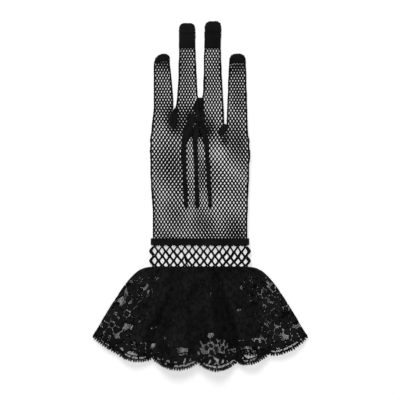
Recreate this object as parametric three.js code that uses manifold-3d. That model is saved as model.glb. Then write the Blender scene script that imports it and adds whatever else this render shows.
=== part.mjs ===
import * as THREE from 'three';
import { mergeVertices } from 'three/addons/utils/BufferGeometryUtils.js';
import Module from 'manifold-3d';

// A short dress glove for the right hand: a fishnet hand with closely knitted
// fingertips, three raised points on its back, a wrist band, an open diamond net
// and a gathered lace ruffle. It lies on its palm with the back of the hand up,
// and its thumb is folded flat under the palm.
//
// Millimetres. +X is across the hand, +Y towards the fingertips, +Z up.
// In the tables y = 0 is the lower edge of the wrist band and x = 0 the middle
// of the hand. The finished glove stands on the middle of its own footprint.

const WALL = 1.0;
const GAP = 0.3;

const PALM_HEIGHT = 13.8;
const PALM_SIDE = 13;
const DIGIT_HEIGHT = 6.6;
const THUMB_HEIGHT = 6.3;

const BAND_TOP = 6.8;
const BAND_HEIGHT = 14.2;
const BAND_WALL = 1.2;

// The hand from the wrist band to the knuckles: half is half the flat width.
const PALM = [
	{ y: BAND_TOP + GAP, x: 0.0, half: 41.0, high: PALM_HEIGHT },
	{ y: 14, x: 0.2, half: 40.9, high: PALM_HEIGHT },
	{ y: 34, x: 0.1, half: 41.3, high: PALM_HEIGHT },
	{ y: 48, x: - 0.1, half: 42.2, high: PALM_HEIGHT },
	{ y: 60, x: - 0.1, half: 42.7, high: PALM_HEIGHT },
	{ y: 74, x: - 0.2, half: 43.0, high: PALM_HEIGHT },
	{ y: 84, x: - 0.3, half: 42.8, high: PALM_HEIGHT },
	{ y: 92, x: - 0.3, half: 42.0, high: 13.4 },
	{ y: 98, x: - 0.4, half: 40.8, high: 12.0 },
	{ y: 104, x: - 0.4, half: 38.6, low: 0.5, high: 10.2 },
];

// Digits from the knuckles up. edge is where the closely knitted cap begins,
// slant turns that edge, square is how blunt the tip is, lean shifts the tip.
const DIGITS = {
	index: {
		tip: 163.4, edge: 156.6, slant: 16, square: 2.3, lean: 1.9,
		rows: [
			{ y: 80, x: - 28.4, half: 14.4, low: 0.5, high: 10.6 },
			{ y: 98.6, x: - 29.6, half: 12.5, high: 10.8 },
			{ y: 107.1, x: - 30.2, half: 10.7, high: 9.4 },
			{ y: 115.6, x: - 30.6, half: 9.0, high: 7.8 },
			{ y: 124.1, x: - 30.9, half: 8.5, high: 6.9 },
			{ y: 137, x: - 31.5, half: 8.05, high: DIGIT_HEIGHT },
			{ y: 149.6, x: - 32.2, half: 7.5, high: DIGIT_HEIGHT },
			{ y: 155.5, x: - 32.5, half: 6.9, high: DIGIT_HEIGHT },
		],
	},
	middle: {
		tip: 189.4, edge: 167.5, slant: 0, square: 4, lean: 0.2,
		rows: [
			{ y: 80, x: - 12.2, half: 14.0, low: 0.5, high: 11.6 },
			{ y: 102.9, x: - 11.1, half: 12.6, high: 11.4 },
			{ y: 109, x: - 11.0, half: 11.7, high: 10.0 },
			{ y: 115.6, x: - 11.0, half: 10.6, high: 8.4 },
			{ y: 125.8, x: - 10.7, half: 8.9, high: 7.0 },
			{ y: 145.4, x: - 10.5, half: 7.8, high: DIGIT_HEIGHT },
			{ y: 167.5, x: - 10.9, half: 7.2, high: DIGIT_HEIGHT },
			{ y: 181, x: - 11.0, half: 7.0, high: DIGIT_HEIGHT },
		],
	},
	ring: {
		tip: 191.0, edge: 167.5, slant: 0, square: 4, lean: 0.3,
		rows: [
			{ y: 80, x: 12.0, half: 14.2, low: 0.5, high: 11.6 },
			{ y: 92, x: 11.3, half: 12.7, high: 11.6 },
			{ y: 101.2, x: 10.9, half: 10.6, high: 11.4 },
			{ y: 109, x: 11.0, half: 10.0, high: 10.0 },
			{ y: 115.6, x: 11.0, half: 9.5, high: 8.4 },
			{ y: 124.1, x: 11.0, half: 8.9, high: 7.1 },
			{ y: 145.4, x: 10.8, half: 7.9, high: DIGIT_HEIGHT },
			{ y: 167.5, x: 10.6, half: 7.2, high: DIGIT_HEIGHT },
			{ y: 182, x: 10.9, half: 7.1, high: DIGIT_HEIGHT },
		],
	},
	little: {
		tip: 163.4, edge: 154.8, slant: 0, square: 2.8, lean: 0.1,
		rows: [
			{ y: 72, x: 28.4, half: 14.2, low: 0.5, high: 10.4 },
			{ y: 90.1, x: 30.0, half: 12.1, high: 10.8 },
			{ y: 101.2, x: 31.3, half: 9.9, high: 9.6 },
			{ y: 112, x: 31.5, half: 9.1, high: 7.8 },
			{ y: 124.1, x: 31.6, half: 8.4, high: 6.8 },
			{ y: 142, x: 31.7, half: 7.9, high: DIGIT_HEIGHT },
			{ y: 155.5, x: 31.8, half: 7.3, high: DIGIT_HEIGHT },
		],
	},
};

// The thumb leaves the palm through its underside on the index finger's side
// and lies flat below it, with its tip under the points on the back.
const THUMB = {
	tip: 101.4, edge: 92, slant: 0, square: 2.6, lean: 0.4,
	rows: [
		{ y: 18, x: - 21.0, half: 9.2, low: 6.8, high: 12.6 },
		{ y: 26, x: - 19.0, half: 9.6, low: 5.4, high: 11.6 },
		{ y: 34, x: - 15.9, half: 9.8, low: 2.6, high: 9.0 },
		{ y: 42, x: - 12.2, half: 9.7, low: 0, high: THUMB_HEIGHT },
		{ y: 51, x: - 8.3, half: 9.6, low: 0, high: THUMB_HEIGHT },
		{ y: 62, x: - 5.2, half: 9.3, low: 0, high: THUMB_HEIGHT },
		{ y: 80, x: - 4.0, half: 8.8, low: 0, high: THUMB_HEIGHT },
		{ y: 92, x: - 4.0, half: 8.0, low: 0, high: THUMB_HEIGHT },
	],
};

// The hollow that the thumb leaves in the palm's underside: all of its height
// within half of the thumb's middle line, and none a run further out.
const RECESS = { rise: THUMB_HEIGHT + GAP, half: 10.2, sideRun: 11, bottom: 20, top: 102, endRun: 11 };

// The fingers' nets are knitted on at the knuckles, each from its left to its
// right, and the thumb's at its root.
const KNUCKLES = 98;
const THUMB_ROOT = 44;
const FINGER_SPANS = {
	index: { left: - 60, right: - 21.6 },
	middle: { left: - 21.6, right: 0.85 },
	ring: { left: 0.85, right: 21.45 },
	little: { left: 21.45, right: 60 },
};

// Raised points on the back of the hand, from their lower ends to the knuckles.
const POINT_WALL = 1.4;
const POINTS = {
	point_index: [
		{ y: 31.3, x: - 11.6, half: 1.0 },
		{ y: 34, x: - 11.7, half: 1.8 },
		{ y: 56, x: - 12.8, half: 1.9 },
		{ y: 76, x: - 13.8, half: 1.9 },
		{ y: 88.4, x: - 13.2, half: 2.4 },
		{ y: 95.2, x: - 11.5, half: 3.2 },
		{ y: 102, x: - 8.9, half: 3.6 },
		{ y: 108.8, x: - 7.0, half: 3.1 },
		{ y: 112.4, x: - 5.7, half: 1.8 },
	],
	point_middle: [
		{ y: 31.8, x: - 2.1, half: 1.0 },
		{ y: 34.5, x: - 2.2, half: 1.8 },
		{ y: 56, x: - 2.9, half: 1.8 },
		{ y: 76, x: - 3.6, half: 1.8 },
		{ y: 88.4, x: - 4.2, half: 2.3 },
		{ y: 93.5, x: - 3.6, half: 2.4 },
		{ y: 98.6, x: - 2.7, half: 2.1 },
		{ y: 103.7, x: - 2.4, half: 1.2 },
	],
	point_ring: [
		{ y: 31.3, x: 8.7, half: 0.9 },
		{ y: 34, x: 8.6, half: 1.6 },
		{ y: 56, x: 7.5, half: 1.8 },
		{ y: 76, x: 6.2, half: 1.8 },
		{ y: 88.4, x: 5.1, half: 2.2 },
		{ y: 93.5, x: 3.9, half: 2.3 },
		{ y: 98.6, x: 2.4, half: 2.1 },
		{ y: 103.7, x: 1.4, half: 1.9 },
	],
};

// Closely knitted forks between the fingers, as outlines seen from above.
const FORK_WALL = 1.0;
const FORK_LOW = 0.8;
const FORK_WEB = 5.6;
const FORKS = {
	fork_index_middle: [
		[ - 21.4, 117.4 ], [ - 24.5, 112.3 ], [ - 26.0, 107.4 ], [ - 25.0, 101.7 ],
		[ - 22.9, 97.8 ], [ - 20.4, 101.7 ], [ - 19.4, 105.7 ], [ - 18.8, 110.0 ], [ - 19.3, 115.4 ],
	],
	fork_middle_ring: [
		[ - 1.9, 125.9 ], [ - 5.0, 119.4 ], [ - 6.2, 115.2 ], [ - 2.9, 113.2 ], [ - 2.6, 105.6 ],
		[ 0.5, 104.6 ], [ 4.0, 105.4 ], [ 3.9, 109.5 ], [ 3.4, 116.0 ], [ 3.6, 123.6 ], [ 2.7, 125.9 ],
	],
	fork_ring_little: [
		[ 21.6, 103.4 ], [ 19.0, 103.6 ], [ 17.4, 100.0 ], [ 15.9, 96.0 ],
		[ 17.0, 93.5 ], [ 20.3, 94.6 ], [ 23.5, 98.0 ], [ 24.3, 101.0 ],
	],
};

// The open diamond net below the wrist band.
const NET_TOP = - GAP;
const NET_BOTTOM = - 17.5;
const NET_HALF = 42.6;
const NET_HEIGHT = 14.4;
const NET_WALL = 1.2;
const NET_RIM = 0.9;
const MESH = { columns: 12, pitchX: 6.4, rows: 5, pitchY: 3.97, firstY: - 0.9, holeX: 2.3, holeY: 2.86 };

// The lace ruffle. It widens from the net to the hem, over rounded shoulders.
const RUFFLE = {
	top: NET_BOTTOM - GAP, wall: 1.0, around: 88, down: 7,
	topHalf: 43.6, hemHalf: 91.4, shoulder: 7.6, shoulderAt: 0.45,
	topHeight: 15.2, edgeHeight: 5.0,
	pleats: 11, pleatDepth: 0.6, pleatReach: 0.3,
};

// The upper layer's folds from left to right, as they are at the hem: u runs
// from -1 to 1 across the ruffle, z is the height of a crest or a valley.
const FOLDS = [
	{ u: - 1.0, z: 5.0 },
	{ u: - 0.9, z: 11.0 },
	{ u: - 0.8, z: 9.2 },
	{ u: - 0.63, z: 17.0 },
	{ u: - 0.46, z: 9.2 },
	{ u: - 0.26, z: 23.0 },
	{ u: - 0.04, z: 15.5 },
	{ u: 0.14, z: 25.0 },
	{ u: 0.33, z: 9.2 },
	{ u: 0.48, z: 19.0 },
	{ u: 0.65, z: 10.5 },
	{ u: 0.84, z: 14.5 },
	{ u: 0.94, z: 10.0 },
	{ u: 1.0, z: 5.0 },
];

// Towards the net the folds draw in to the middle by up to this share of u.
const FOLD_GATHER = 0.37;

// The scallops of the upper hem: u and y are where one ends and the next
// begins, drop is how far its middle hangs below the straight line between.
const SCALLOPS = [
	{ u: - 1.0, y: - 77.0, drop: 1.6 },
	{ u: - 0.775, y: - 91.0, drop: 4.8 },
	{ u: - 0.44, y: - 95.2, drop: 8.0 },
	{ u: - 0.02, y: - 98.2, drop: 7.0 },
	{ u: 0.336, y: - 98.8, drop: 4.7 },
	{ u: 0.64, y: - 91.4, drop: 5.6 },
	{ u: 1.0, y: - 77.0, drop: 0 },
];

// The under layer lies on the table in low, even ripples.
const UNDER_HEM = { ripples: 7, ripple: 1.7, sideY: - 77.0, middleY: - 95.5, scallop: 3.2, bow: 2.2 };

const wasm = await Module();
wasm.setup();

// The share of the way from a to b, eased at both ends.
function ease( value, a, b ) {

	return THREE.MathUtils.smoothstep( value, a, b );

}

// The thumb's middle line at a place along the hand.
function thumbMiddle( y ) {

	const { rows } = THUMB;
	const next = Math.max( 1, rows.findIndex( ( row ) => row.y >= y ) );
	const [ from, to ] = y > rows.at( - 1 ).y ? [ rows.at( - 1 ), rows.at( - 1 ) ] : [ rows[ next - 1 ], rows[ next ] ];
	const share = to === from ? 0 : THREE.MathUtils.clamp( ( y - from.y ) / ( to.y - from.y ), 0, 1 );
	return from.x + ( to.x - from.x ) * share;

}

// How high the underside of the hand lies at a place, over the thumb.
function recess( x, y ) {

	const { rise, half, sideRun, bottom, top, endRun } = RECESS;
	const across = 1 - ease( Math.abs( x - thumbMiddle( y ) ), half, half + sideRun );
	const along = ease( y, bottom - endRun, bottom ) * ( 1 - ease( y, top, top + endRun ) );
	return rise * across * along;

}

// A closed solid from a geometry.
function solidOf( geometry ) {

	const bare = geometry.clone();
	bare.deleteAttribute( 'normal' );
	bare.deleteAttribute( 'uv' );
	const merged = mergeVertices( bare, 1e-5 );
	return new wasm.Manifold( new wasm.Mesh( {
		numProp: 3,
		vertProperties: merged.getAttribute( 'position' ).array,
		triVerts: new Uint32Array( merged.index.array ),
	} ) );

}

// A geometry from a closed solid.
function geometryOf( solid ) {

	const { vertProperties, triVerts } = solid.getMesh();
	const geometry = new THREE.BufferGeometry();
	geometry.setAttribute( 'position', new THREE.BufferAttribute( vertProperties, 3 ) );
	geometry.setIndex( new THREE.BufferAttribute( triVerts, 1 ) );
	const faceted = geometry.toNonIndexed();
	faceted.computeVertexNormals();
	return faceted;

}

// One ring of points round a flattened tube: flat above and below, and round
// at both sides over a width of side. across is the steps over a flat face.
function flatRing( { x, y, half, low, high, side = ( high - low ) / 2 }, across, round = 4 ) {

	const radius = ( high - low ) / 2;
	const middle = ( high + low ) / 2;
	const wide = Math.min( side, half * 0.8 );
	const straight = half - wide;
	const ring = [];
	for ( const way of [ 1, - 1 ] ) {

		for ( let i = 0; i <= across; i ++ ) {

			ring.push( new THREE.Vector3( x + way * straight * ( 2 * i / across - 1 ), y, middle + way * radius ) );

		}

		for ( let i = 1; i < round; i ++ ) {

			const angle = Math.PI * ( 0.5 - i / round );
			ring.push( new THREE.Vector3(
				x + way * ( straight + wide * Math.cos( angle ) ), y, middle + way * radius * Math.sin( angle )
			) );

		}

	}

	return ring;

}

// The same ring with its underside raised over the thumb.
function raisedRing( section, across ) {

	const { low, high } = section;
	const ring = flatRing( section, across );
	for ( const p of ring ) p.z += recess( p.x, p.y ) * ( high - p.z ) / ( high - low );
	return ring;

}

// A closed solid through rings that follow each other towards +Y.
function loft( rings ) {

	const count = rings[ 0 ].length;
	const points = rings.flat();
	const index = [];
	for ( let j = 0; j + 1 < rings.length; j ++ ) {

		for ( let i = 0; i < count; i ++ ) {

			const a = j * count + i;
			const b = j * count + ( i + 1 ) % count;
			index.push( a, b, b + count, a, b + count, a + count );

		}

	}

	// Each end is closed by strips from its upper to its lower half.
	const left = rings[ 0 ].reduce( ( best, p, i ) => ( p.x < rings[ 0 ][ best ].x ? i : best ), 0 );
	for ( const first of [ 0, ( rings.length - 1 ) * count ] ) {

		for ( let k = 0; k < count / 2; k ++ ) {

			const [ a, b ] = [ left + k, left + k + 1 ].map( ( i ) => first + i % count );
			const [ c, d ] = [ left - k - 1, left - k ].map( ( i ) => first + ( i + count ) % count );
			if ( b !== c ) index.push( a, first ? b : c, first ? c : b );
			if ( a !== d ) index.push( a, first ? c : d, first ? d : c );

		}

	}

	return solidOf( new THREE.BufferGeometry().setFromPoints( points ).setIndex( index ) );

}

// A box from its lowest to its highest corner, turned about +Z by some degrees.
function boxSolid( low, high, turn = 0 ) {

	const size = high.map( ( value, i ) => value - low[ i ] );
	const centre = high.map( ( value, i ) => ( value + low[ i ] ) / 2 );
	const box = new THREE.BoxGeometry( ...size ).rotateZ( THREE.MathUtils.degToRad( turn ) );
	return solidOf( box.translate( ...centre ) );

}

// An upright prism over an outline seen from above.
function prism( outline, low, high ) {

	const shape = new THREE.Shape( outline.map( ( [ x, y ] ) => new THREE.Vector2( x, y ) ) );
	const geometry = new THREE.ExtrudeGeometry( shape, { depth: high - low, bevelEnabled: false } );
	return solidOf( geometry.translate( 0, 0, low ) );

}

// The sections of a digit, grown by an offset, with its tip rounded off.
function digitSections( digit, offset ) {

	const sections = digit.rows.map( ( { y, x, half, low = 0, high } ) => (
		{ y, x, half: half + offset, low: low - offset, high: high + offset }
	) );
	const last = sections.at( - 1 );
	const middle = ( last.low + last.high ) / 2;
	const reach = digit.tip + offset - last.y;
	for ( const s of [ 0.45, 0.8, 0.98 ] ) {

		const narrow = ( 1 - s ** digit.square ) ** ( 1 / digit.square );
		const flat = ( 1 - s ** 2.6 ) ** ( 1 / 2.6 );
		sections.push( {
			y: last.y + reach * s,
			x: last.x + digit.lean * s,
			half: last.half * narrow,
			low: middle + ( last.low - middle ) * flat,
			high: middle + ( last.high - middle ) * flat,
		} );

	}

	return sections;

}

// The hand's form grown by an offset: the palm, its fingers and its thumb. A
// hollow form runs on past the wrist, so that it opens the hand there.
function handForm( offset ) {

	const palm = PALM.map( ( { y, x, half, low = 0, high } ) => (
		{ y, x, half: half + offset, low: low - offset, high: high + offset, side: PALM_SIDE + offset }
	) );
	palm[ 0 ].y -= offset < 0 ? GAP : 0;
	palm.at( - 1 ).y += offset;
	let form = loft( palm.map( ( section ) => raisedRing( section, 10 ) ) );
	for ( const digit of Object.values( DIGITS ) ) {

		form = form.add( loft( digitSections( digit, offset ).map( ( section ) => raisedRing( section, 3 ) ) ) );

	}

	return form.add( thumbForm( offset ) );

}

// The thumb's form grown by an offset.
function thumbForm( offset ) {

	return loft( digitSections( THUMB, offset ).map( ( section ) => flatRing( section, 3 ) ) );

}

// What of the hand belongs to the net of a finger.
function fingerRegion( { left, right } ) {

	return boxSolid( [ left + GAP / 2, KNUCKLES + GAP / 2, - 5 ], [ right - GAP / 2, 200, 30 ] );

}

// What of the hand belongs to the thumb's net, with half the gap on it.
function thumbRegion( side ) {

	const beyond = boxSolid( [ - 60, THUMB_ROOT + side * GAP / 2, - 5 ], [ 60, 200, 30 ] );
	return thumbForm( GAP / 2 ).intersect( beyond );

}

// Everything of the hand beyond a digit's cap edge, with half the gap on it.
function capRegion( digit, side ) {

	const { x } = digit.rows.at( - 1 );
	const wide = digit === THUMB ? 10 : 9;
	const low = - 3;
	const high = THUMB_HEIGHT + ( digit === THUMB ? GAP / 2 : 3 );
	const lift = side * GAP / 2;
	const reach = digit.tip - digit.edge + ( digit === THUMB ? 0.1 : 2 );
	const edge = new THREE.Matrix4().makeRotationZ( THREE.MathUtils.degToRad( digit.slant ) );
	const geometry = new THREE.BoxGeometry( 2 * wide, reach, high - low );
	geometry.translate( 0, reach / 2 + lift, ( high + low ) / 2 ).applyMatrix4( edge );
	return solidOf( geometry.translate( x, digit.edge, 0 ) );

}

// The largest of a solid's separate bodies.
function mainBody( solid ) {

	return solid.decompose().sort( ( a, b ) => b.volume() - a.volume() )[ 0 ];

}

// A straight piece of flattened tube, open at both ends.
function sleeve( { low, high, half, height, wall, across } ) {

	const section = ( y, inset ) => flatRing(
		{ x: 0, y, half: half - inset, low: inset, high: height - inset, side: PALM_SIDE - inset }, across, 6
	);
	const outer = loft( [ section( low, 0 ), section( high, 0 ) ] );
	const bore = loft( [ section( low - 1, wall ), section( high + 1, wall ) ] );
	return outer.subtract( bore );

}

// A raised point: a strip of the skin over the back of the hand.
function raisedPoint( rows, skin ) {

	const left = rows.map( ( { y, x, half } ) => [ x - half, y ] );
	const right = rows.map( ( { y, x, half } ) => [ x + half, y ] );
	return mainBody( prism( [ ...right, ...left.reverse() ], RECESS.rise + GAP, 30 ).intersect( skin ) );

}

// A fork: the skin over both digits within an outline, and beyond the recess
// the web between them.
function fork( outline, body, clear ) {

	const flat = RECESS.top + RECESS.endRun;
	const beyond = boxSolid( [ - 60, flat, 0 ], [ 60, 150, 20 ] );
	const web = prism( outline, FORK_LOW, FORK_WEB ).intersect( beyond );
	const patch = prism( outline, FORK_LOW, 30 ).intersect( body );
	return mainBody( patch.add( web ).subtract( clear ) );

}

// The open net: a sleeve with rows of diamonds cut through it.
function openNet() {

	const tube = sleeve( {
		low: NET_BOTTOM, high: NET_TOP, half: NET_HALF, height: NET_HEIGHT, wall: NET_WALL, across: 2,
	} );
	let holes = null;
	for ( let row = 0; row < MESH.rows; row ++ ) {

		const y = MESH.firstY - row * MESH.pitchY;
		const columns = MESH.columns + row % 2;
		for ( let column = 0; column < columns; column ++ ) {

			const x = ( column - ( columns - 1 ) / 2 ) * MESH.pitchX;
			const corner = [ [ MESH.holeX, 0 ], [ 0, MESH.holeY ], [ - MESH.holeX, 0 ], [ 0, - MESH.holeY ] ];
			const hole = prism( corner.map( ( [ dx, dy ] ) => [ x + dx, y + dy ] ), - 1, NET_HEIGHT + 1 );
			holes = holes ? holes.add( hole ) : hole;

		}

	}

	const span = NET_HALF + 5;
	const field = boxSolid( [ - span, NET_BOTTOM + NET_RIM, - 2 ], [ span, NET_TOP - NET_RIM, NET_HEIGHT + 2 ] );
	return tube.subtract( holes.intersect( field ) );

}

// The two rows of a table in u that a place lies between, and how far it is
// from the first to the second.
function between( rows, u ) {

	const next = Math.max( 1, rows.findIndex( ( row ) => row.u >= u - 1e-9 ) );
	const [ from, to ] = [ rows[ next - 1 ], rows[ next ] ];
	return { from, to, share: THREE.MathUtils.clamp( ( u - from.u ) / ( to.u - from.u ), 0, 1 ) };

}

// Where a place u of the upper hem lies.
function upperHem( u ) {

	const fold = between( FOLDS, u );
	const edge = between( SCALLOPS, u );
	const hang = edge.from.drop * ( 4 * edge.share * ( 1 - edge.share ) ) ** 0.7;
	return {
		z: THREE.MathUtils.lerp( fold.from.z, fold.to.z, ease( fold.share, 0, 1 ) ),
		y: THREE.MathUtils.lerp( edge.from.y, edge.to.y, edge.share ) - hang,
	};

}

// Where a place u of the under hem lies.
function underHem( u ) {

	const { ripples, ripple, sideY, middleY, scallop, bow } = UNDER_HEM;
	const phase = u * ripples * Math.PI / 2;
	const reach = sideY + ( middleY - sideY ) * ( 1 - Math.abs( u ) ** bow );
	const fade = 1 - u ** 4;
	return { z: RUFFLE.wall / 2 + ripple * Math.sin( phase ) ** 2, y: reach - scallop * fade * Math.abs( Math.cos( phase ) ) };

}

// A point of the lace's middle surface: a runs once round from the left edge
// over the upper layer, t from the net down to the hem.
function lacePoint( a, t ) {

	const { top, wall, topHalf, hemHalf, shoulder, shoulderAt, topHeight, edgeHeight, pleats, pleatDepth, pleatReach } = RUFFLE;
	const angle = a * 2 * Math.PI;
	const u = - Math.cos( angle );
	const upper = Math.sin( angle ) >= 0;
	const hem = upper ? upperHem( u ) : underHem( u );
	const gathered = u - FOLD_GATHER * ( 1 - t ) * u * ( 1 - u * u );
	const half = THREE.MathUtils.lerp( topHalf, hemHalf, t ) + shoulder * Math.sin( Math.PI * t ** shoulderAt );
	const edge = THREE.MathUtils.lerp( topHeight / 2, edgeHeight, t );
	const start = upper ? topHeight - wall / 2 : wall / 2;
	const folded = THREE.MathUtils.lerp( start, hem.z, ease( t, - 0.15, 1.05 ) );
	const roundness = Math.abs( Math.sin( angle ) ) ** THREE.MathUtils.lerp( 0.35, 0.5, t );
	const pleat = pleatDepth * ease( pleatReach - t, 0, pleatReach ) * Math.cos( 2 * Math.PI * pleats * a * 2 );
	return new THREE.Vector3(
		gathered * half,
		top + ( hem.y - top ) * t,
		edge + ( folded + ( upper ? pleat : 0 ) - edge ) * roundness
	);

}

// The lace ruffle: a wall on both sides of its middle surface.
function ruffle() {

	const { around, down, wall } = RUFFLE;
	const step = 1e-3;
	const skin = ( side ) => {

		const rows = [];
		for ( let j = 0; j <= down; j ++ ) {

			const t = ( 1 - j / down ) ** 1.25;
			for ( let i = 0; i < around; i ++ ) {

				const a = i / around;
				const along = lacePoint( a + step, t ).sub( lacePoint( a - step, t ) );
				const downward = lacePoint( a, Math.min( t + step, 1 ) ).sub( lacePoint( a, Math.max( t - step, 0 ) ) );
				const normal = along.cross( downward ).normalize().negate();
				rows.push( lacePoint( a, t ).addScaledVector( normal, side * wall / 2 ) );

			}

		}

		return rows;

	};

	const outside = skin( 1 );
	const inside = skin( - 1 );
	const total = outside.length;
	const last = down * around;
	const index = [];
	for ( let i = 0; i < around; i ++ ) {

		const n = ( i + 1 ) % around;
		for ( let j = 0; j < down; j ++ ) {

			const [ a, b ] = [ j * around + i, j * around + n ];
			const [ c, d ] = [ b + around, a + around ];
			index.push( a, b, c, a, c, d );
			index.push( total + a, total + c, total + b, total + a, total + d, total + c );

		}

		index.push( i, total + i, total + n, i, total + n, n );
		index.push( last + i, last + n, total + last + n, last + i, total + last + n, total + last + i );

	}

	const points = [ ...outside, ...inside ];
	for ( const p of points ) p.set( p.x, Math.min( p.y, RUFFLE.top ), Math.max( p.z, 0 ) );
	return solidOf( new THREE.BufferGeometry().setFromPoints( points ).setIndex( index ) );

}

const FINISHES = {
	fishnet: { color: '#1b1b1d', roughness: 0.8, metalness: 0 },
	close_knit: { color: '#181819', roughness: 0.85, metalness: 0 },
	open_net: { color: '#141415', roughness: 0.75, metalness: 0 },
	lace: { color: '#161617', roughness: 0.7, metalness: 0 },
};

const glove = new THREE.Group();

function addPiece( name, solid, finish ) {

	const mesh = new THREE.Mesh( geometryOf( solid ), new THREE.MeshStandardMaterial( FINISHES[ finish ] ) );
	mesh.name = name;
	glove.add( mesh );

}

// The caps are cut from the ends of the digits, and the hand's fishnet is cut
// into the palm and a net for each digit.
const shell = handForm( 0 ).subtract( handForm( - WALL ) );
const digits = { ...DIGITS, thumb: THUMB };
let hand = shell;
for ( const [ name, digit ] of Object.entries( digits ) ) {

	addPiece( `${ name }_cap`, mainBody( shell.intersect( capRegion( digit, 1 ) ) ), 'close_knit' );
	hand = hand.subtract( capRegion( digit, - 1 ) );

}

for ( const [ name, span ] of Object.entries( FINGER_SPANS ) ) {

	addPiece( `${ name }_net`, mainBody( hand.intersect( fingerRegion( span ) ) ), 'fishnet' );

}

addPiece( 'thumb_net', mainBody( hand.intersect( thumbRegion( 1 ) ) ), 'fishnet' );
const beyondKnuckles = boxSolid( [ - 60, KNUCKLES - GAP / 2, - 5 ], [ 60, 200, 30 ] );
addPiece( 'palm_net', mainBody( hand.subtract( thumbRegion( - 1 ) ).subtract( beyondKnuckles ) ), 'fishnet' );

// What lies on the hand keeps a small gap to it.
const clear = handForm( GAP );
const pointSkin = handForm( GAP + POINT_WALL ).subtract( clear );
const forkSkin = handForm( GAP + FORK_WALL );
for ( const [ name, rows ] of Object.entries( POINTS ) ) {

	addPiece( name, raisedPoint( rows, pointSkin ), 'close_knit' );

}

for ( const [ name, outline ] of Object.entries( FORKS ) ) {

	addPiece( name, fork( outline, forkSkin, clear ), 'close_knit' );

}

addPiece( 'wrist_band', sleeve( {
	low: 0, high: BAND_TOP, half: 41.9, height: BAND_HEIGHT, wall: BAND_WALL, across: 2,
} ), 'close_knit' );
addPiece( 'open_net', openNet(), 'open_net' );
addPiece( 'lace_ruffle', ruffle(), 'lace' );

// The glove's own frame is the middle of its footprint, on the table.
const bounds = new THREE.Box3().setFromObject( glove );
const middle = bounds.getCenter( new THREE.Vector3() );
glove.position.set( - middle.x, - middle.y, - bounds.min.z );

export default glove;
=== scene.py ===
"""The looks of a short dress glove: fishnet hand, open net and gathered lace ruffle.

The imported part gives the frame. The hand's fishnet is laid over its solid by rays through
its walls, and the lace is laid on the same surface as the ruffle's solid. Lengths are in
millimetres in the part's working frame, where y = 0 is the lower edge of the wrist band,
and turn to metres where a mesh is made.
"""

import logging
import math
from collections.abc import Callable
from dataclasses import dataclass, field
from enum import Enum
from functools import partial
from typing import NamedTuple

import bpy
import numpy as np
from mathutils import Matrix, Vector
from mathutils.bvhtree import BVHTree


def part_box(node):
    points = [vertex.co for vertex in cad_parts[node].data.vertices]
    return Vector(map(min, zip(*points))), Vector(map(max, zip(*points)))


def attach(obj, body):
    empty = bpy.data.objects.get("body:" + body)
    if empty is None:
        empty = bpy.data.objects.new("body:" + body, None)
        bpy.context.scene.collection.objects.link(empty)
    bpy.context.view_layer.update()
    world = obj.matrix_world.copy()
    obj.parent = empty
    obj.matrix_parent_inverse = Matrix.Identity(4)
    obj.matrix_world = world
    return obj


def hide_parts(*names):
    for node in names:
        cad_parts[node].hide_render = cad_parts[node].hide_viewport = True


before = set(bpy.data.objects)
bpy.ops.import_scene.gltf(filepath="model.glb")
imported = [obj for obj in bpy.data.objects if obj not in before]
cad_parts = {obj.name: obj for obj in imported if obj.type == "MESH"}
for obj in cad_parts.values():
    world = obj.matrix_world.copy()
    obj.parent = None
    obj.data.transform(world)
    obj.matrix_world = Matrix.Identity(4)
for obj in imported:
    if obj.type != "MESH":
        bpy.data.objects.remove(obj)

LOG = logging.getLogger("lace_glove")
MM = 0.001
BODY = "root"
SEED = 7
WRIST_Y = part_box("wrist_band")[0].y / MM
HAND_NODES = ("palm_net", "index_net", "middle_net", "ring_net", "little_net", "thumb_net")
POINT_NODES = ("point_index", "point_middle", "point_ring")
FORK_NODES = ("fork_index_middle", "fork_middle_ring", "fork_ring_little")
CAP_NODES = ("index_cap", "middle_cap", "ring_cap", "little_cap", "thumb_cap")
BAND_NODE = "wrist_band"
KNIT_NODES = (*POINT_NODES, *FORK_NODES, *CAP_NODES, BAND_NODE)
# Points of a net that are nearer to each other than this, in millimetres, are one.
SAME_POINT = 1e-3
# A diamond hole's corners reach this far from its centre, where its half size is 0.5.
DIAMOND_REACH = 2.2
# How often the way from a cell's centre to the cloth's edge is halved to find that edge.
HALVINGS = 6

# A mesh: its points in millimetres, and arrays of point numbers with one face to a row.
Shell = tuple[np.ndarray, list[np.ndarray]]


class Slot(Enum):
    """The record's material slots."""

    FISHNET = "fishnet"
    CLOSE_KNIT = "close_knit"
    OPEN_NET = "open_net"
    LACE = "lace"


def linear(colour: str) -> tuple[float, float, float, float]:
    """Turns an sRGB hex colour to linear light.

    Args:
        colour: the colour as #rrggbb.

    Returns:
        Its red, green, blue and an alpha of 1.
    """
    parts = [int(colour[i:i + 2], 16) / 255 for i in (1, 3, 5)]
    light = [c / 12.92 if c <= 0.04045 else ((c + 0.055) / 1.055) ** 2.4 for c in parts]
    return (*light, 1.0)


def add_node(
    material: bpy.types.Material, kind: str,
    links: dict[str, bpy.types.NodeSocket] | None = None, **settings: object,
) -> bpy.types.Node:
    """Adds a shader node to a material.

    Args:
        material: the material whose tree the node joins.
        kind: the node's type without its ShaderNode prefix.
        links: the output socket that each named input takes.
        **settings: properties of the node, or values of its inputs by their names.

    Returns:
        The new node.
    """
    tree = material.node_tree
    node = tree.nodes.new("ShaderNode" + kind)
    for name, value in settings.items():
        if hasattr(node, name):
            setattr(node, name, value)
        else:
            node.inputs[name.replace("_", " ").title()].default_value = value
    for name, output in (links or {}).items():
        tree.links.new(output, node.inputs[name])
    return node


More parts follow.
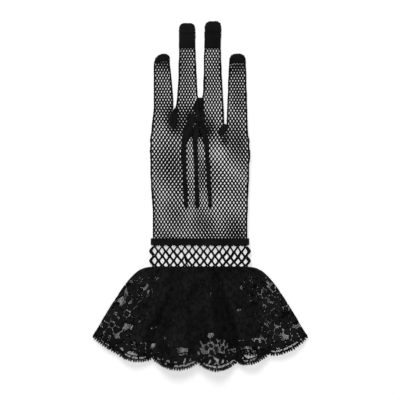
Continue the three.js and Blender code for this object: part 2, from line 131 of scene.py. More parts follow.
@dataclass(frozen=True)
class Yarn:
    """A black dyed yarn: its colour, its gloss and the relief of its fibres or stitches.

    It varies between the colours low and high in patches of tone_size. fibre and relief are
    the width and the height of its fibres, wale and course the spacing of its stitches, all
    in millimetres, and coarse is how much wider than real the stitches are drawn.
    """

    name: str
    low: str
    high: str
    roughness: float
    specular: float
    sheen: float
    fibre: float
    relief: float
    wale: float = 0.0
    course: float = 0.0
    coarse: float = 5.0
    course_wave: float = 1.5
    fibre_share: float = 0.35
    tone_size: float = 14.0
    tone_range: tuple[float, float] = (0.35, 0.65)
    sheen_roughness: float = 0.5
    sheen_tint: str = "#8a8a90"

    def material(self) -> bpy.types.Material:
        """Builds the yarn's material.

        Returns:
            A material with a colour that varies softly, fine fibres and, for a knit, its
            stitches as wales and courses.
        """
        made = bpy.data.materials.new(self.name)
        made.use_nodes = True
        made.node_tree.nodes.clear()
        place = add_node(made, "TexCoord").outputs["Object"]
        tone = add_node(
            made, "TexNoise", {"Vector": place}, scale=1 / (self.tone_size * MM), detail=3.0,
        )
        colour = add_node(made, "ValToRGB", {"Fac": tone.outputs["Fac"]})
        shades = zip(colour.color_ramp.elements, self.tone_range, (self.low, self.high))
        for stop, position, shade in shades:
            stop.position = position
            stop.color = linear(shade)
        fibres = add_node(
            made, "TexNoise", {"Vector": place}, scale=1 / (self.fibre * MM), detail=4.0,
        )
        height = fibres.outputs["Fac"]
        if self.wale:
            height = self.stitches(made, place, height)
        bump = add_node(
            made, "Bump", {"Height": height}, strength=0.8, distance=self.relief * MM,
        )
        shader = add_node(
            made, "BsdfPrincipled",
            {"Base Color": colour.outputs["Color"], "Normal": bump.outputs["Normal"]},
            roughness=self.roughness, sheen_weight=self.sheen,
            sheen_roughness=self.sheen_roughness, sheen_tint=linear(self.sheen_tint),
        )
        shader.inputs["Specular IOR Level"].default_value = self.specular
        add_node(made, "OutputMaterial", {"Surface": shader.outputs["BSDF"]})
        return made

    def stitches(
        self, made: bpy.types.Material, place: bpy.types.NodeSocket, fibres: bpy.types.NodeSocket,
    ) -> bpy.types.NodeSocket:
        """Adds knitted stitches to the fibres' height.

        Args:
            made: the material.
            place: the Object coordinates.
            fibres: the height of the fibres.

        Returns:
            The height of stitches in wales along Y and courses along X, with the fibres.
        """
        # A wave of scale 1 repeats every pi / 10 units across its bands.
        wave = math.pi / 10
        bands = []
        for way, spacing, wavy in (("X", self.wale, 0.0), ("Y", self.course, self.course_wave)):
            band = add_node(
                made, "TexWave", {"Vector": place}, bands_direction=way,
                scale=wave / (spacing * self.coarse * MM), distortion=wavy,
            )
            bands.append(band.outputs["Fac"])
        both = add_node(made, "Math", operation="MULTIPLY")
        total = add_node(made, "Math", operation="MULTIPLY_ADD")
        total.inputs[1].default_value = self.fibre_share
        link = made.node_tree.links.new
        link(bands[0], both.inputs[0])
        link(bands[1], both.inputs[1])
        link(fibres, total.inputs[0])
        link(both.outputs["Value"], total.inputs[2])
        return total.outputs["Value"]


# Fine nylon net, dyed black: smooth thin filament with a faint gloss.
FISHNET_YARN = Yarn("black_nylon_fishnet", "#171718", "#212122", 0.62, 0.16, 0.02, 0.35, 0.12)
# Close single jersey of textured nylon: matte, with wales and courses about 0.8 mm apart,
# drawn five times coarser than real so that they show.
KNIT_YARN = Yarn(
    "black_nylon_close_knit", "#19191a", "#222223", 0.85, 0.1, 0.02, 0.4, 0.3, 0.75, 0.85,
)
# Heavier twisted nylon cord of the open net.
CORD_YARN = Yarn("black_nylon_net_cord", "#111112", "#1a1a1b", 0.65, 0.15, 0.02, 0.3, 0.15)
# Lace ground of thin nylon thread: the darkest of the yarns, with a faint gloss. Its dark colour is
# partly the thread's own tone and partly painted shade, standing for the shade in the lines between the
# raised petals.
LACE_YARN_AND_SHADE = Yarn("black_lace_ground_and_painted_shade", "#0f0f10", "#171718", 0.75, 0.12, 0.03, 0.45, 0.2)
# Rayon threads of the raised flowers: a soft gloss over close rows of stitching, drawn
# as coarse as the knit's. Their grey, lighter than the ground's, is partly the rayon's own tone
# and partly a painted highlight on the raised petals and the hem's edging.
FLOWER_YARN_AND_HIGHLIGHT = Yarn(
    "black_lace_flowers_and_painted_highlight", "#161617", "#242425", 0.7, 0.14, 0.04, 0.5, 0.25, 0.6, 1.1,
)


def make_piece(
    name: str, shell: Shell, material: bpy.types.Material,
) -> bpy.types.Object:
    """Makes a piece of the glove from arrays, shaded smooth.

    Args:
        name: the piece's name.
        shell: its points in the working frame, and its faces.
        material: its finish.

    Returns:
        The piece, riding on the part's body.
    """
    points, faces = shell
    mesh = bpy.data.meshes.new(name)
    placed = (points + np.array([0.0, WRIST_Y, 0.0])) * MM
    sizes = np.concatenate([np.full(len(f), f.shape[1]) for f in faces])
    corners = np.concatenate([f.reshape(-1) for f in faces])
    mesh.vertices.add(len(placed))
    mesh.vertices.foreach_set("co", placed.astype(np.float32).reshape(-1))
    mesh.loops.add(len(corners))
    mesh.loops.foreach_set("vertex_index", corners.astype(np.int32))
    mesh.polygons.add(len(sizes))
    mesh.polygons.foreach_set("loop_start", (np.cumsum(sizes) - sizes).astype(np.int32))
    mesh.polygons.foreach_set("use_smooth", np.ones(len(sizes), bool))
    mesh.update(calc_edges=True)
    mesh.validate()
    made = bpy.data.objects.new(name, mesh)
    bpy.context.scene.collection.objects.link(made)
    return dress(made, material)


def dress(piece: bpy.types.Object, material: bpy.types.Material) -> bpy.types.Object:
    """Gives a piece its finish and puts it on the part's body.

    Args:
        piece: the piece.
        material: its finish.

    Returns:
        The same piece.
    """
    piece.data.materials.clear()
    piece.data.materials.append(material)
    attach(piece, BODY)
    triangles = sum(len(p.vertices) - 2 for p in piece.data.polygons)
    LOG.info("%s: %d triangles", piece.name, triangles)
    return piece


def read(values: bpy.types.bpy_prop_collection, name: str) -> np.ndarray:
    """Reads a vector of each of a mesh's vertices, one to a row."""
    found = np.empty(len(values) * 3, np.float32)
    values.foreach_get(name, found)
    return found.reshape(-1, 3)


def move(piece: bpy.types.Object, points: np.ndarray) -> None:
    """Moves a piece's vertices to new points, in metres."""
    piece.data.vertices.foreach_set("co", points.reshape(-1))
    piece.data.update()


def ease(value: np.ndarray, low: float, high: float) -> np.ndarray:
    """Gives the share of the way from low to high, eased at both ends."""
    share = np.clip((value - low) / (high - low), 0.0, 1.0)
    return share * share * (3 - 2 * share)


def between(table: np.ndarray, i: np.ndarray, j: np.ndarray) -> np.ndarray:
    """Reads a table between its rows and columns.

    Args:
        table: the table, with a number or a point in each place.
        i: the rows, with their fractions.
        j: the columns, with their fractions.

    Returns:
        The table's values there.
    """
    a, b = i.astype(int), j.astype(int)
    u, v = i - a, j - b
    if table.ndim > 2:
        u, v = u[:, None], v[:, None]
    return (
        table[a, b] * (1 - u) * (1 - v) + table[a + 1, b] * u * (1 - v)
        + table[a, b + 1] * (1 - u) * v + table[a + 1, b + 1] * u * v
    )


def even_out(values: np.ndarray, reach: int = 4) -> np.ndarray:
    """Gives each value the mean of itself and of its neighbours on both sides."""
    count = 2 * reach + 1
    return np.convolve(np.pad(values, reach, mode="edge"), np.ones(count) / count, "valid")


class Cloth:
    """A surface that cells are laid on: it turns places in plan to points and normals."""

    def inside(self, places: np.ndarray) -> np.ndarray:
        """Tells which places are on the cloth."""
        raise NotImplementedError

    def open(self, places: np.ndarray) -> np.ndarray:
        """Tells which places a hole may reach."""
        return self.inside(places)

    def lift(self, places: np.ndarray) -> tuple[np.ndarray, np.ndarray]:
        """Gives the cloth's points and outward normals at places in plan."""
        raise NotImplementedError


@dataclass
class Mesh:
    """A net of staggered diamond cells with an oval hole in each.

    width and height are a cell's diagonals, hole_x and hole_y its hole's half sizes, thick
    half the cord's thickness and steps the points on each side of a cell. A hole is an oval
    where roundness is 1 and a diamond where it is 0.
    """

    width: float
    height: float
    hole_x: float
    hole_y: float
    thick: float
    steps: int = 3
    roundness: float = 1.0

    def centres(self, low: tuple[float, float], high: tuple[float, float]) -> np.ndarray:
        """Gives the centres of all cells in a field.

        Args:
            low: the field's lowest x and y.
            high: the field's highest x and y.

        Returns:
            One row of x and y for each cell.
        """
        rows = np.arange(math.floor(low[1] / self.height), math.ceil(high[1] / self.height) + 1)
        columns = np.arange(math.floor(low[0] / self.width), math.ceil(high[0] / self.width) + 1)
        grid = np.stack(np.meshgrid(columns, rows, indexing="ij"), -1).reshape(-1, 2).astype(float)
        both = np.concatenate([grid, grid + 0.5])
        return both * np.array([self.width, self.height])

    def rim(self) -> np.ndarray:
        """Gives the points round a cell, from its right corner, as offsets from its centre."""
        corners = np.array([[0.5, 0], [0, 0.5], [-0.5, 0], [0, -0.5]])
        share = np.arange(self.steps)[:, None] / self.steps
        sides = [a + (b - a) * share for a, b in zip(corners, np.roll(corners, -1, axis=0))]
        return np.concatenate(sides) * np.array([self.width, self.height])

    def hole(self) -> np.ndarray:
        """Gives the points round a cell's hole, each one towards a point of its rim."""
        rim = self.rim() / np.array([self.width, self.height])
        oval = rim / np.linalg.norm(rim, axis=1, keepdims=True)
        mixed = oval * self.roundness + rim * DIAMOND_REACH * (1 - self.roundness)
        return mixed * np.array([self.hole_x, self.hole_y])

    def lay(
        self, cloth: Cloth, centres: np.ndarray, size: np.ndarray | float = 1.0,
        filled: np.ndarray | None = None,
    ) -> Shell:
        """Lays cells on a cloth, both sides of each, with the rims between them shared.

        Args:
            cloth: the surface.
            centres: the cells' centres in plan, all of them on the cloth.
            size: the size of each cell's hole, where 1 is the net's own.
            filled: whether each cell is closed instead of open.

        Returns:
            The points and faces of the net.
        """
        count, around = len(centres), 4 * self.steps
        holed = np.ones(count, bool) if filled is None else ~filled
        rim = centres[:, None] + self.rim()[None]
        keys = np.round(rim.reshape(-1, 2) / SAME_POINT).astype(np.int64)
        _, first, owner = np.unique(keys, axis=0, return_index=True, return_inverse=True)
        owner = owner.reshape(count, around)
        shared = self.pull_in(cloth.inside, rim.reshape(-1, 2)[first], centres[first // around])
        middle = centres[holed]
        scale = np.broadcast_to(size, count)[holed, None, None]
        holes = (middle[:, None] + self.hole()[None] * scale).reshape(-1, 2)
        holes = self.pull_in(cloth.open, holes, np.repeat(middle, around, axis=0))
        rim_point, rim_normal = cloth.lift(shared)
        points = np.concatenate([
            rim_point + rim_normal * self.thick, rim_point - rim_normal * self.thick,
            cloth.lift(holes)[0],
        ])
        total = len(shared)
        ring = 2 * total + np.arange(len(holes)).reshape(-1, around)
        upper, lower = owner[holed], owner[holed] + total
        turn = partial(np.roll, shift=-1, axis=1)
        quads = [
            np.stack([upper, turn(upper), turn(ring), ring], -1).reshape(-1, 4),
            np.stack([turn(lower), lower, ring, turn(ring)], -1).reshape(-1, 4),
        ]
        ways = np.stack([owner, turn(owner)], -1).reshape(-1, 2)
        edges = np.sort(ways, axis=1)
        _, index, uses = np.unique(edges, axis=0, return_index=True, return_counts=True)
        side = ways[index[uses == 1]]
        quads.append(np.stack([side[:, 1], side[:, 0], side[:, 0] + total, side[:, 1] + total], -1))
        closed = owner[~holed]
        return points, [np.concatenate(quads), closed, closed[:, ::-1] + total]

    def pull_in(
        self, good_at: Callable[[np.ndarray], np.ndarray], places: np.ndarray, centres: np.ndarray,
    ) -> np.ndarray:
        """Moves places that are off the cloth towards their cells' centres, onto its edge.

        Args:
            good_at: tells which places are on the cloth.
            places: the places in plan.
            centres: for each place a place on the cloth.

        Returns:
            The places, all of them on the cloth.
        """
        share = np.where(good_at(places), 1.0, 0.0)
        step = 0.5
        off = share == 0
        for _ in range(HALVINGS):
            tried = np.where(off, share + step, share)
            good = good_at(centres + (places - centres) * tried[:, None])
            share = np.where(off & good, tried, share)
            step /= 2
        return centres + (places - centres) * share[:, None]


def tree_of(nodes: tuple[str, ...]) -> BVHTree:
    """Makes one search tree of several CAD nodes.

    Args:
        nodes: the nodes' names.

    Returns:
        The tree, in metres.
    """
    points, faces = [], []
    for node in nodes:
        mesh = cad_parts[node].data
        start = len(points)
        points += [v.co.copy() for v in mesh.vertices]
        faces += [[start + i for i in p.vertices] for p in mesh.polygons]
    return BVHTree.FromPolygons(points, faces)


class Wall(Enum):
    """The walls of the hand that a ray straight up goes through."""

    BACK = "back"
    PALM = "palm"
    THUMB_UNDER = "thumb_under"
    THUMB_TOP = "thumb_top"


@dataclass
class Probe:
    """The hand's walls on a grid in plan, found by rays straight up through its solids.

    Where the net has a closely knitted piece in its place, the wall goes on through that
    piece, and covered tells where it does. The grid is shifted a little, so that no ray meets
    an edge of the solids. ring is how many steps the heights run on past a wall, and tuck how
    many the net runs on under the edge of a knitted piece.
    """

    step: float = 0.5
    margin: float = 2.0
    shift: tuple[float, float] = (0.013, 0.017)
    blurs: int = 6
    ring: int = 4
    tuck: int = 2
    heights: dict[Wall, np.ndarray] = field(default_factory=dict)
    masks: dict[Wall, np.ndarray] = field(default_factory=dict)
    covered: dict[Wall, np.ndarray] = field(default_factory=dict)

    def __post_init__(self) -> None:
        """Casts the rays and smooths each wall's heights."""
        boxes = [[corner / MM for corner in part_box(node)] for node in HAND_NODES + KNIT_NODES]
        self.x, self.y = (self.line(boxes, axis) for axis in (0, 1))
        net, knit = tree_of(HAND_NODES), tree_of(KNIT_NODES)
        shape = (len(self.x), len(self.y))
        for wall in Wall:
            self.heights[wall] = np.zeros(shape)
            self.masks[wall] = np.zeros(shape, bool)
            self.covered[wall] = np.zeros(shape, bool)
        for i, x in enumerate(self.x):
            for j, y in enumerate(self.y):
                found = [(z, False) for z in self.middles(net, x, y)]
                found += [(z, True) for z in self.middles(knit, x, y)]
                if len(found) >= 2:
                    self.sort_walls(i, j, sorted(found))
        for wall in Wall:
            self.close_slits(wall)
            self.smooth(wall)
            covered = self.covered[wall]
            for axis in (0, 1) * self.tuck:
                covered &= np.roll(covered, 1, axis) & np.roll(covered, -1, axis)

    def line(self, boxes: list[list[Vector]], axis: int) -> np.ndarray:
        """Spaces the grid's lines along one axis, a margin past the boxes at both ends."""
        low = min(box[0][axis] for box in boxes) - self.margin
        high = max(box[1][axis] for box in boxes) + self.margin
        return np.arange(low, high, self.step) + self.shift[axis]

    def middles(self, tree: BVHTree, x: float, y: float) -> list[float]:
        """Lists the middle heights of the walls that a ray straight up goes through."""
        found, start = [], Vector((x * MM, y * MM, -0.001))
        while True:
            point = tree.ray_cast(start, Vector((0, 0, 1)))[0]
            if point is None:
                return [(a + b) / 2 for a, b in zip(found[::2], found[1::2])]
            found.append(point.z / MM)
            start = point + Vector((0, 0, 1e-6))

    def sort_walls(self, i: int, j: int, found: list[tuple[float, bool]]) -> None:
        """Writes the walls at one place of the grid: their heights, and which are knitted."""
        walls = {Wall.BACK: found[-1], Wall.PALM: found[-2]}
        if len(found) > 2:
            walls[Wall.THUMB_UNDER] = found[0]
        if len(found) > 3:
            walls[Wall.THUMB_TOP] = found[1]
        for wall, (height, is_knit) in walls.items():
            self.heights[wall][i, j] = height
            self.masks[wall][i, j] = True
            self.covered[wall][i, j] = is_knit

    def close_slits(self, wall: Wall) -> None:
        """Fills the slits, one step of the grid wide, that are left where two nodes meet."""
        mask, height = self.masks[wall], self.heights[wall]
        for axis in (0, 1):
            before, after = np.roll(mask, 1, axis), np.roll(mask, -1, axis)
            slit = before & after & ~mask
            middle = (np.roll(height, 1, axis) + np.roll(height, -1, axis)) / 2
            height[slit] = middle[slit]
            mask |= slit

    def smooth(self, wall: Wall) -> None:
        """Blurs a wall's heights over its own places alone, so that its facets go."""
        mask = self.masks[wall].astype(float)
        height = self.heights[wall] * mask
        for _ in range(self.blurs):
            for axis in (0, 1):
                total = height + np.roll(height, 1, axis) + np.roll(height, -1, axis)
                weight = mask + np.roll(mask, 1, axis) + np.roll(mask, -1, axis)
                height = np.where(mask > 0, total / np.maximum(weight, 1), 0)
        # A ring of places round the wall takes its height, so that the edge has one too.
        known = mask > 0
        for _ in range(self.ring):
            for axis in (0, 1):
                for way in (1, -1):
                    near, there = np.roll(height, way, axis), np.roll(known, way, axis)
                    fill = there & ~known
                    height[fill] = near[fill]
                    known |= fill
        self.heights[wall] = height


class Stretch(NamedTuple):
    """A place where the net is drawn wide or close, and the size of its holes there."""

    x: float
    y: float
    across: float
    along: float
    size: float


@dataclass
class HandCloth(Cloth):
    """One finger's share of a wall of the hand as a cloth, in the working frame.

    The net's columns run on from the palm into the finger, where they come closer to its
    middle, and they come close at the raised points too. The palm side's net lies a little
    out of line with the back's, so that the two show soft bands.
    """

    probe: Probe
    wall: Wall
    middle: float
    finger_scale: float = 0.86
    knuckle: tuple[float, float] = (100.0, 130.0)
    points_x: float = -3.2
    points_reach: float = 16.0
    points_draw: float = 0.28
    points_start: tuple[float, float] = (12.0, 45.0)
    points_end: tuple[float, float] = (84.0, 108.0)
    drift: float = 0.48
    finger_drift: float = 0.2
    drift_along: float = 1.3

    def warp(self, places: np.ndarray) -> np.ndarray:
        """Moves places of the even net to where its stretched cells lie."""
        x, y = places[:, 0], places[:, 1]
        to_points = x - self.points_x
        drawn = self.points_draw * ease(y, *self.points_start) * (1 - ease(y, *self.points_end))
        moved = x - (x - self.middle) * (1 - self.finger_scale) * ease(y, *self.knuckle)
        moved = moved - drawn * to_points * np.exp(-(to_points / self.points_reach) ** 2)
        if self.wall is not Wall.BACK:
            # Waves that never fall in step keep the bands uneven.
            drift = self.drift + (self.finger_drift - self.drift) * ease(y, *self.knuckle)
            up = drift * self.drift_along
            moved = moved + drift * np.sin(x / 8.7 + 1.0) * np.sin(y / 13.0 + x / 31.0)
            y = y + up * np.sin(x / 12.3 + y / 17.0) * np.sin(y / 21.0 + 2.0)
        return np.column_stack([moved, y])

    def grid(self, places: np.ndarray) -> tuple[np.ndarray, np.ndarray]:
        """Gives the places as numbers of steps on the probe's grid."""
        i = (places[:, 0] - self.probe.x[0]) / self.probe.step
        j = (places[:, 1] + WRIST_Y - self.probe.y[0]) / self.probe.step
        return i, j

    def inside(self, places: np.ndarray) -> np.ndarray:
        """Tells which places are on this wall."""
        return self.on_wall(self.warp(places))

    def on_wall(self, places: np.ndarray) -> np.ndarray:
        """Tells which places in plan are on this wall."""
        return self.look_up(self.probe.masks[self.wall], places)

    def netted(self, places: np.ndarray) -> np.ndarray:
        """Tells which places are on this wall and not hidden by a closely knitted piece."""
        moved = self.warp(places)
        return self.on_wall(moved) & ~self.look_up(self.probe.covered[self.wall], moved)

    def look_up(self, mask: np.ndarray, places: np.ndarray) -> np.ndarray:
        """Reads one of the probe's masks at places in plan."""
        i, j = (np.round(v).astype(int) for v in self.grid(places))
        ok = (i >= 0) & (j >= 0) & (i < mask.shape[0]) & (j < mask.shape[1])
        return ok & mask[np.where(ok, i, 0), np.where(ok, j, 0)]

    def height(self, places: np.ndarray) -> np.ndarray:
        """Gives the wall's height at places, between the grid's."""
        table = self.probe.heights[self.wall]
        i, j = self.grid(places)
        i = np.clip(i, 0, table.shape[0] - 1.001)
        j = np.clip(j, 0, table.shape[1] - 1.001)
        return between(table, i, j)

    def lift(self, places: np.ndarray) -> tuple[np.ndarray, np.ndarray]:
        """Gives the wall's points and its normals, which point away from the hand's middle."""
        places = self.warp(places)
        z = self.height(places)
        near = self.probe.step
        slope = [
            (self.height(places + offset) - self.height(places - offset)) / (2 * near)
            for offset in (np.array([near, 0]), np.array([0, near]))
        ]
        side = 1.0 if self.wall in (Wall.BACK, Wall.THUMB_TOP) else -1.0
        normal = np.stack([-slope[0], -slope[1], np.ones(len(z))], -1) * side
        normal /= np.linalg.norm(normal, axis=1, keepdims=True)
        return np.column_stack([places, z]), normal


def tube(path: np.ndarray, radius: np.ndarray, sides: int = 8) -> Shell:
    """Sweeps a round cord along a path, with rings that shrink to a point at both ends.

    Args:
        path: the points of its middle line.
        radius: its radius at each of them.
        sides: the points round it.

    Returns:
        Its points and its four-sided faces.
    """
    along = np.gradient(path, axis=0)
    along /= np.linalg.norm(along, axis=1, keepdims=True)
    across = np.cross(along, [0.0, 0.0, 1.0])
    across /= np.maximum(np.linalg.norm(across, axis=1, keepdims=True), 1e-9)
    over = np.cross(across, along)
    angle = np.arange(sides) / sides * 2 * np.pi
    round_it = (
        across[:, None] * np.cos(angle)[None, :, None]
        + over[:, None] * np.sin(angle)[None, :, None]
    )
    rings = path[:, None] + round_it * radius[:, None, None]
    start, end = (point[:, None].repeat(sides, 1) for point in (path[:1], path[-1:]))
    points = np.concatenate([start, rings, end])
    number = np.arange(len(points) * sides).reshape(-1, sides)
    a, b = number[:-1], number[1:]
    quads = np.stack([a, np.roll(a, -1, 1), np.roll(b, -1, 1), b], -1).reshape(-1, 4)
    return points.reshape(-1, 3), [quads]


def cord(path: np.ndarray, radius: float) -> Shell:
    """Sweeps a cord of even thickness along a path."""
    return tube(path, np.full(len(path), radius))


def join(parts: list[Shell]) -> Shell:
    """Joins meshes in one.

    Args:
        parts: the meshes.

    Returns:
        All their points, and all their arrays of faces.
    """
    start = np.cumsum([0] + [len(points) for points, _ in parts])
    faces = [f + s for (_, arrays), s in zip(parts, start) for f in arrays]
    return np.concatenate([points for points, _ in parts]), faces


@dataclass
class Finger:
    """A finger's place in plan: the x of a line inside it, and the y of its cap's two corners."""

    name: str
    x: float
    cap_left: float
    cap_right: float


@dataclass
class FishnetHand:
    """The fishnet of the hand and its selvage cords.

    Sizes are those of the holes, where 1 is the net's own: they grow or shrink over the
    stretches of y that knuckles and wrist give. A cord is cord thick, with a knot every
    knot_pitch. It lies wholly inside the palm's edge and moves out over the stretch cord_out,
    or between two fingers as the gap between them grows over fork_gap, by cord_shift of its
    thickness. Its height is the wall's at cord_inset from the edge.
    """

    probe: Probe
    net: Mesh = field(default_factory=lambda: Mesh(2.86, 4.6, 0.68, 1.2, 0.28, 3, 0.7))
    low: tuple[float, float] = (-52.0, 0.0)
    high: tuple[float, float] = (52.0, 175.0)
    thumb_size: float = 1.3
    finger_size: float = 0.915
    knuckles: tuple[float, float] = (95.0, 115.0)
    wrist_size: float = 0.9
    wrist: tuple[float, float] = (15.0, 40.0)
    largest: float = 1.35
    cord: float = 0.75
    cord_low: float = 7.2
    cord_step: float = 0.7
    cord_inset: float = 0.9
    cord_shift: float = 1.05
    cord_out: tuple[float, float] = (90.0, 125.0)
    fork_low: float = 88.0
    fork_gap: tuple[float, float] = (1.0, 5.0)
    least_gap: float = 0.05
    walk: float = 60.0
    walk_step: float = 0.1
    knot_pitch: float = 2.3
    knot_rise: float = 0.18
    fingers: tuple[Finger, ...] = (
        Finger("index", -31.0, 154.2, 158.6),
        Finger("middle", -11.0, 167.3, 167.3),
        Finger("ring", 10.9, 167.3, 167.3),
        Finger("little", 31.6, 154.6, 154.6),
    )
    # Wide where the fork of ring and little finger pulls, close under the tips and beside
    # the knitted forks.
    stretches: tuple[Stretch, ...] = (
        Stretch(17.5, 79.0, 5.0, 7.0, 1.15), Stretch(-16.0, 97.0, 5.0, 7.0, 0.8),
        Stretch(-10.0, 99.0, 5.0, 9.0, 0.7), Stretch(9.5, 100.0, 5.0, 8.0, 0.8),
        Stretch(-1.0, 107.0, 5.0, 7.0, 0.3), Stretch(-22.5, 106.0, 4.4, 9.0, 0.15),
        Stretch(19.5, 97.5, 3.8, 5.0, 0.25), Stretch(21.5, 89.5, 3.0, 4.0, 0.5),
        Stretch(-7.5, 110.0, 5.0, 6.0, 0.5), Stretch(6.5, 97.0, 4.0, 6.0, 0.5),
        Stretch(-31.0, 157.0, 12.0, 7.0, 0.5), Stretch(31.5, 155.0, 12.0, 7.0, 0.5),
        Stretch(-11.0, 135.0, 8.0, 34.0, 0.87), Stretch(31.5, 125.0, 8.0, 30.0, 0.88),
        Stretch(10.9, 130.0, 8.0, 34.0, 0.96),
    )

    def cells(self, wall: Wall, size: float = 1.0) -> Shell:
        """Lays the net on one wall.

        Args:
            wall: the wall.
            size: the size of its holes.

        Returns:
            The points and faces of the net there.
        """
        middles = np.array([finger.x for finger in self.fingers])
        every = self.net.centres(self.low, self.high)
        owner = np.argmin(np.abs(every[:, :1] - middles[None]), axis=1)
        parts = []
        for number, middle in enumerate(middles):
            cloth = HandCloth(self.probe, wall, middle)
            centres = every[owner == number]
            centres = centres[cloth.netted(centres)]
            if len(centres):
                parts.append(self.net.lay(cloth, centres, self.sizes(centres, size)))
        return join(parts)

    def sizes(self, centres: np.ndarray, size: float) -> np.ndarray:
        """Gives the size of each cell's hole where the net is stretched or close."""
        y = centres[:, 1]
        sizes = size * (1 + (self.finger_size - 1) * ease(y, *self.knuckles))
        sizes *= 1 + (self.wrist_size - 1) * (1 - ease(y, *self.wrist))
        for place in self.stretches:
            off = (centres - [place.x, place.y]) / [place.across, place.along]
            sizes *= 1 + (place.size - 1) * np.exp(-(off ** 2).sum(1))
        return np.minimum(sizes, self.largest)

    def build(self, yarn: bpy.types.Material) -> None:
        """Builds the net of each wall and the cords along its edges."""
        back = make_piece("net_back", self.cells(Wall.BACK), yarn)
        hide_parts(*HAND_NODES)
        make_piece("net_palm", self.cells(Wall.PALM), yarn)
        thumb = [self.cells(wall, self.thumb_size) for wall in (Wall.THUMB_UNDER, Wall.THUMB_TOP)]
        make_piece("net_thumb", join(thumb), yarn)
        make_piece("side_cords", join(self.cords()), yarn)

    def edge(self, cloth: HandCloth, x: float, y: float, way: int) -> float:
        """Walks from a place inside the hand to its edge.

        Args:
            cloth: the wall that is walked on.
            x: where the walk starts.
            y: the place along the hand.
            way: 1 towards the little finger, -1 towards the index finger.

        Returns:
            The x of the edge.
        """
        steps = x + way * np.arange(0, self.walk, self.walk_step)
        on = cloth.on_wall(np.column_stack([steps, np.full(len(steps), y)]))
        return float(steps[np.argmin(on)]) if not on.all() else float(steps[-1])

    def cords(self) -> list[Shell]:
        """Sweeps a cord along each edge of the palm and the fingers."""
        parts = []
        for number, finger in enumerate(self.fingers):
            for way, top in ((-1, finger.cap_left), (1, finger.cap_right)):
                near = number + way
                beside = self.fingers[near] if 0 <= near < len(self.fingers) else None
                parts.append(self.side_cord(finger, beside, way, top))
        return parts

    def side_cord(self, finger: Finger, beside: Finger | None, way: int, top: float) -> Shell:
        """Sweeps the cord along one edge of a finger, and of the palm where none is beside it.

        Args:
            finger: the finger.
            beside: the finger next to that edge, if there is one.
            way: 1 for the edge towards the little finger, -1 towards the index finger.
            top: the y of the cap's corner at that edge.

        Returns:
            The cord.
        """
        back, palm = (HandCloth(self.probe, wall, 0.0) for wall in (Wall.BACK, Wall.PALM))
        low = self.fork_low if beside else self.cord_low
        rows = np.arange(low, top + 1.0, self.cord_step)
        xs = np.array([self.edge(back, finger.x, y, way) for y in rows])
        out = ease(rows, *self.cord_out)
        if beside:
            gap = way * (np.array([self.edge(back, beside.x, y, -way) for y in rows]) - xs)
            out = ease(gap, *self.fork_gap)
            rows, xs, out = (values[gap > self.least_gap] for values in (rows, xs, out))
        soft = even_out(xs)
        inner = np.column_stack([soft - way * self.cord_inset, rows])
        z = (back.height(inner) + palm.height(inner)) / 2
        path = np.column_stack([soft - way * self.cord * (1.0 - self.cord_shift * out), rows, z])
        knots = self.knot_rise * np.sin(rows * 2 * np.pi / self.knot_pitch)
        return tube(path, self.cord * (1 + knots))


@dataclass
class SleeveCloth(Cloth):
    """The upper or under side of the open net's flattened sleeve.

    It bends round over the last stretch of each half, which is side wide. The net sags
    towards the little finger's side and is drawn together round its seam, the under side less.
    """

    half: float
    height: float
    low: float
    high: float
    wall: float
    pitch: float
    upper: bool
    side: float = 13.0
    arch: float = 0.8
    sag: float = 1.5
    seam: tuple[float, float] = (-12.5, -12.0)
    seam_reach: tuple[float, float] = (4.5, 5.0)
    draw: float = 1.3
    under_slack: float = 0.6

    def inside(self, places: np.ndarray) -> np.ndarray:
        """Tells which places are on the sleeve."""
        across = np.abs(places[:, 0]) <= self.half - self.wall / 2
        return across & (places[:, 1] >= self.low - 1e-6) & (places[:, 1] <= self.high + 1e-6)

    def open(self, places: np.ndarray) -> np.ndarray:
        """Keeps holes off the two edges, in round arches."""
        arch = 0.1 + self.arch * (1 + np.cos(places[:, 0] * 2 * math.pi / self.pitch))
        y = places[:, 1]
        return self.inside(places) & (y < self.high - arch) & (y > self.low + arch)

    def lift(self, places: np.ndarray) -> tuple[np.ndarray, np.ndarray]:
        """Gives the sleeve's points and outward normals."""
        past = np.abs(places[:, 0]) - (self.half - self.side)
        out = np.clip(past / (self.side - self.wall / 2), 0, 1)
        rise = (self.height - self.wall) / 2
        way = 1.0 if self.upper else -1.0
        z = self.height / 2 + way * rise * np.sqrt(1 - out ** 2)
        lean = out * np.sign(places[:, 0])
        normal = np.stack([lean, np.zeros(len(z)), way * np.sqrt(1 - out ** 2)], -1)
        normal /= np.linalg.norm(normal, axis=1, keepdims=True)
        return np.column_stack([self.slack(places), z]), normal

    def slack(self, places: np.ndarray) -> np.ndarray:
        """Moves places as the slack net hangs: not at all at the band and at the ruffle."""
        x, y = places[:, 0], places[:, 1]
        free = np.sin(math.pi * np.clip((self.high - y) / (self.high - self.low), 0, 1))
        off_x, off_y = x - self.seam[0], y - self.seam[1]
        near = (off_x / self.seam_reach[0]) ** 2 + (off_y / self.seam_reach[1]) ** 2
        pinch = self.draw * np.exp(-near)
        side = 1.0 if self.upper else self.under_slack
        # Small waves keep the cells from lying all alike.
        moved_x = x + side * free * (0.35 * np.sin(x / 5.3 + y / 2.1) - pinch * np.tanh(off_x / 2))
        moved_y = y - side * free * (self.sag * ease(x, 0, 40) + 0.3 * np.sin(x / 4.1 + 2))
        return np.column_stack([moved_x, moved_y])


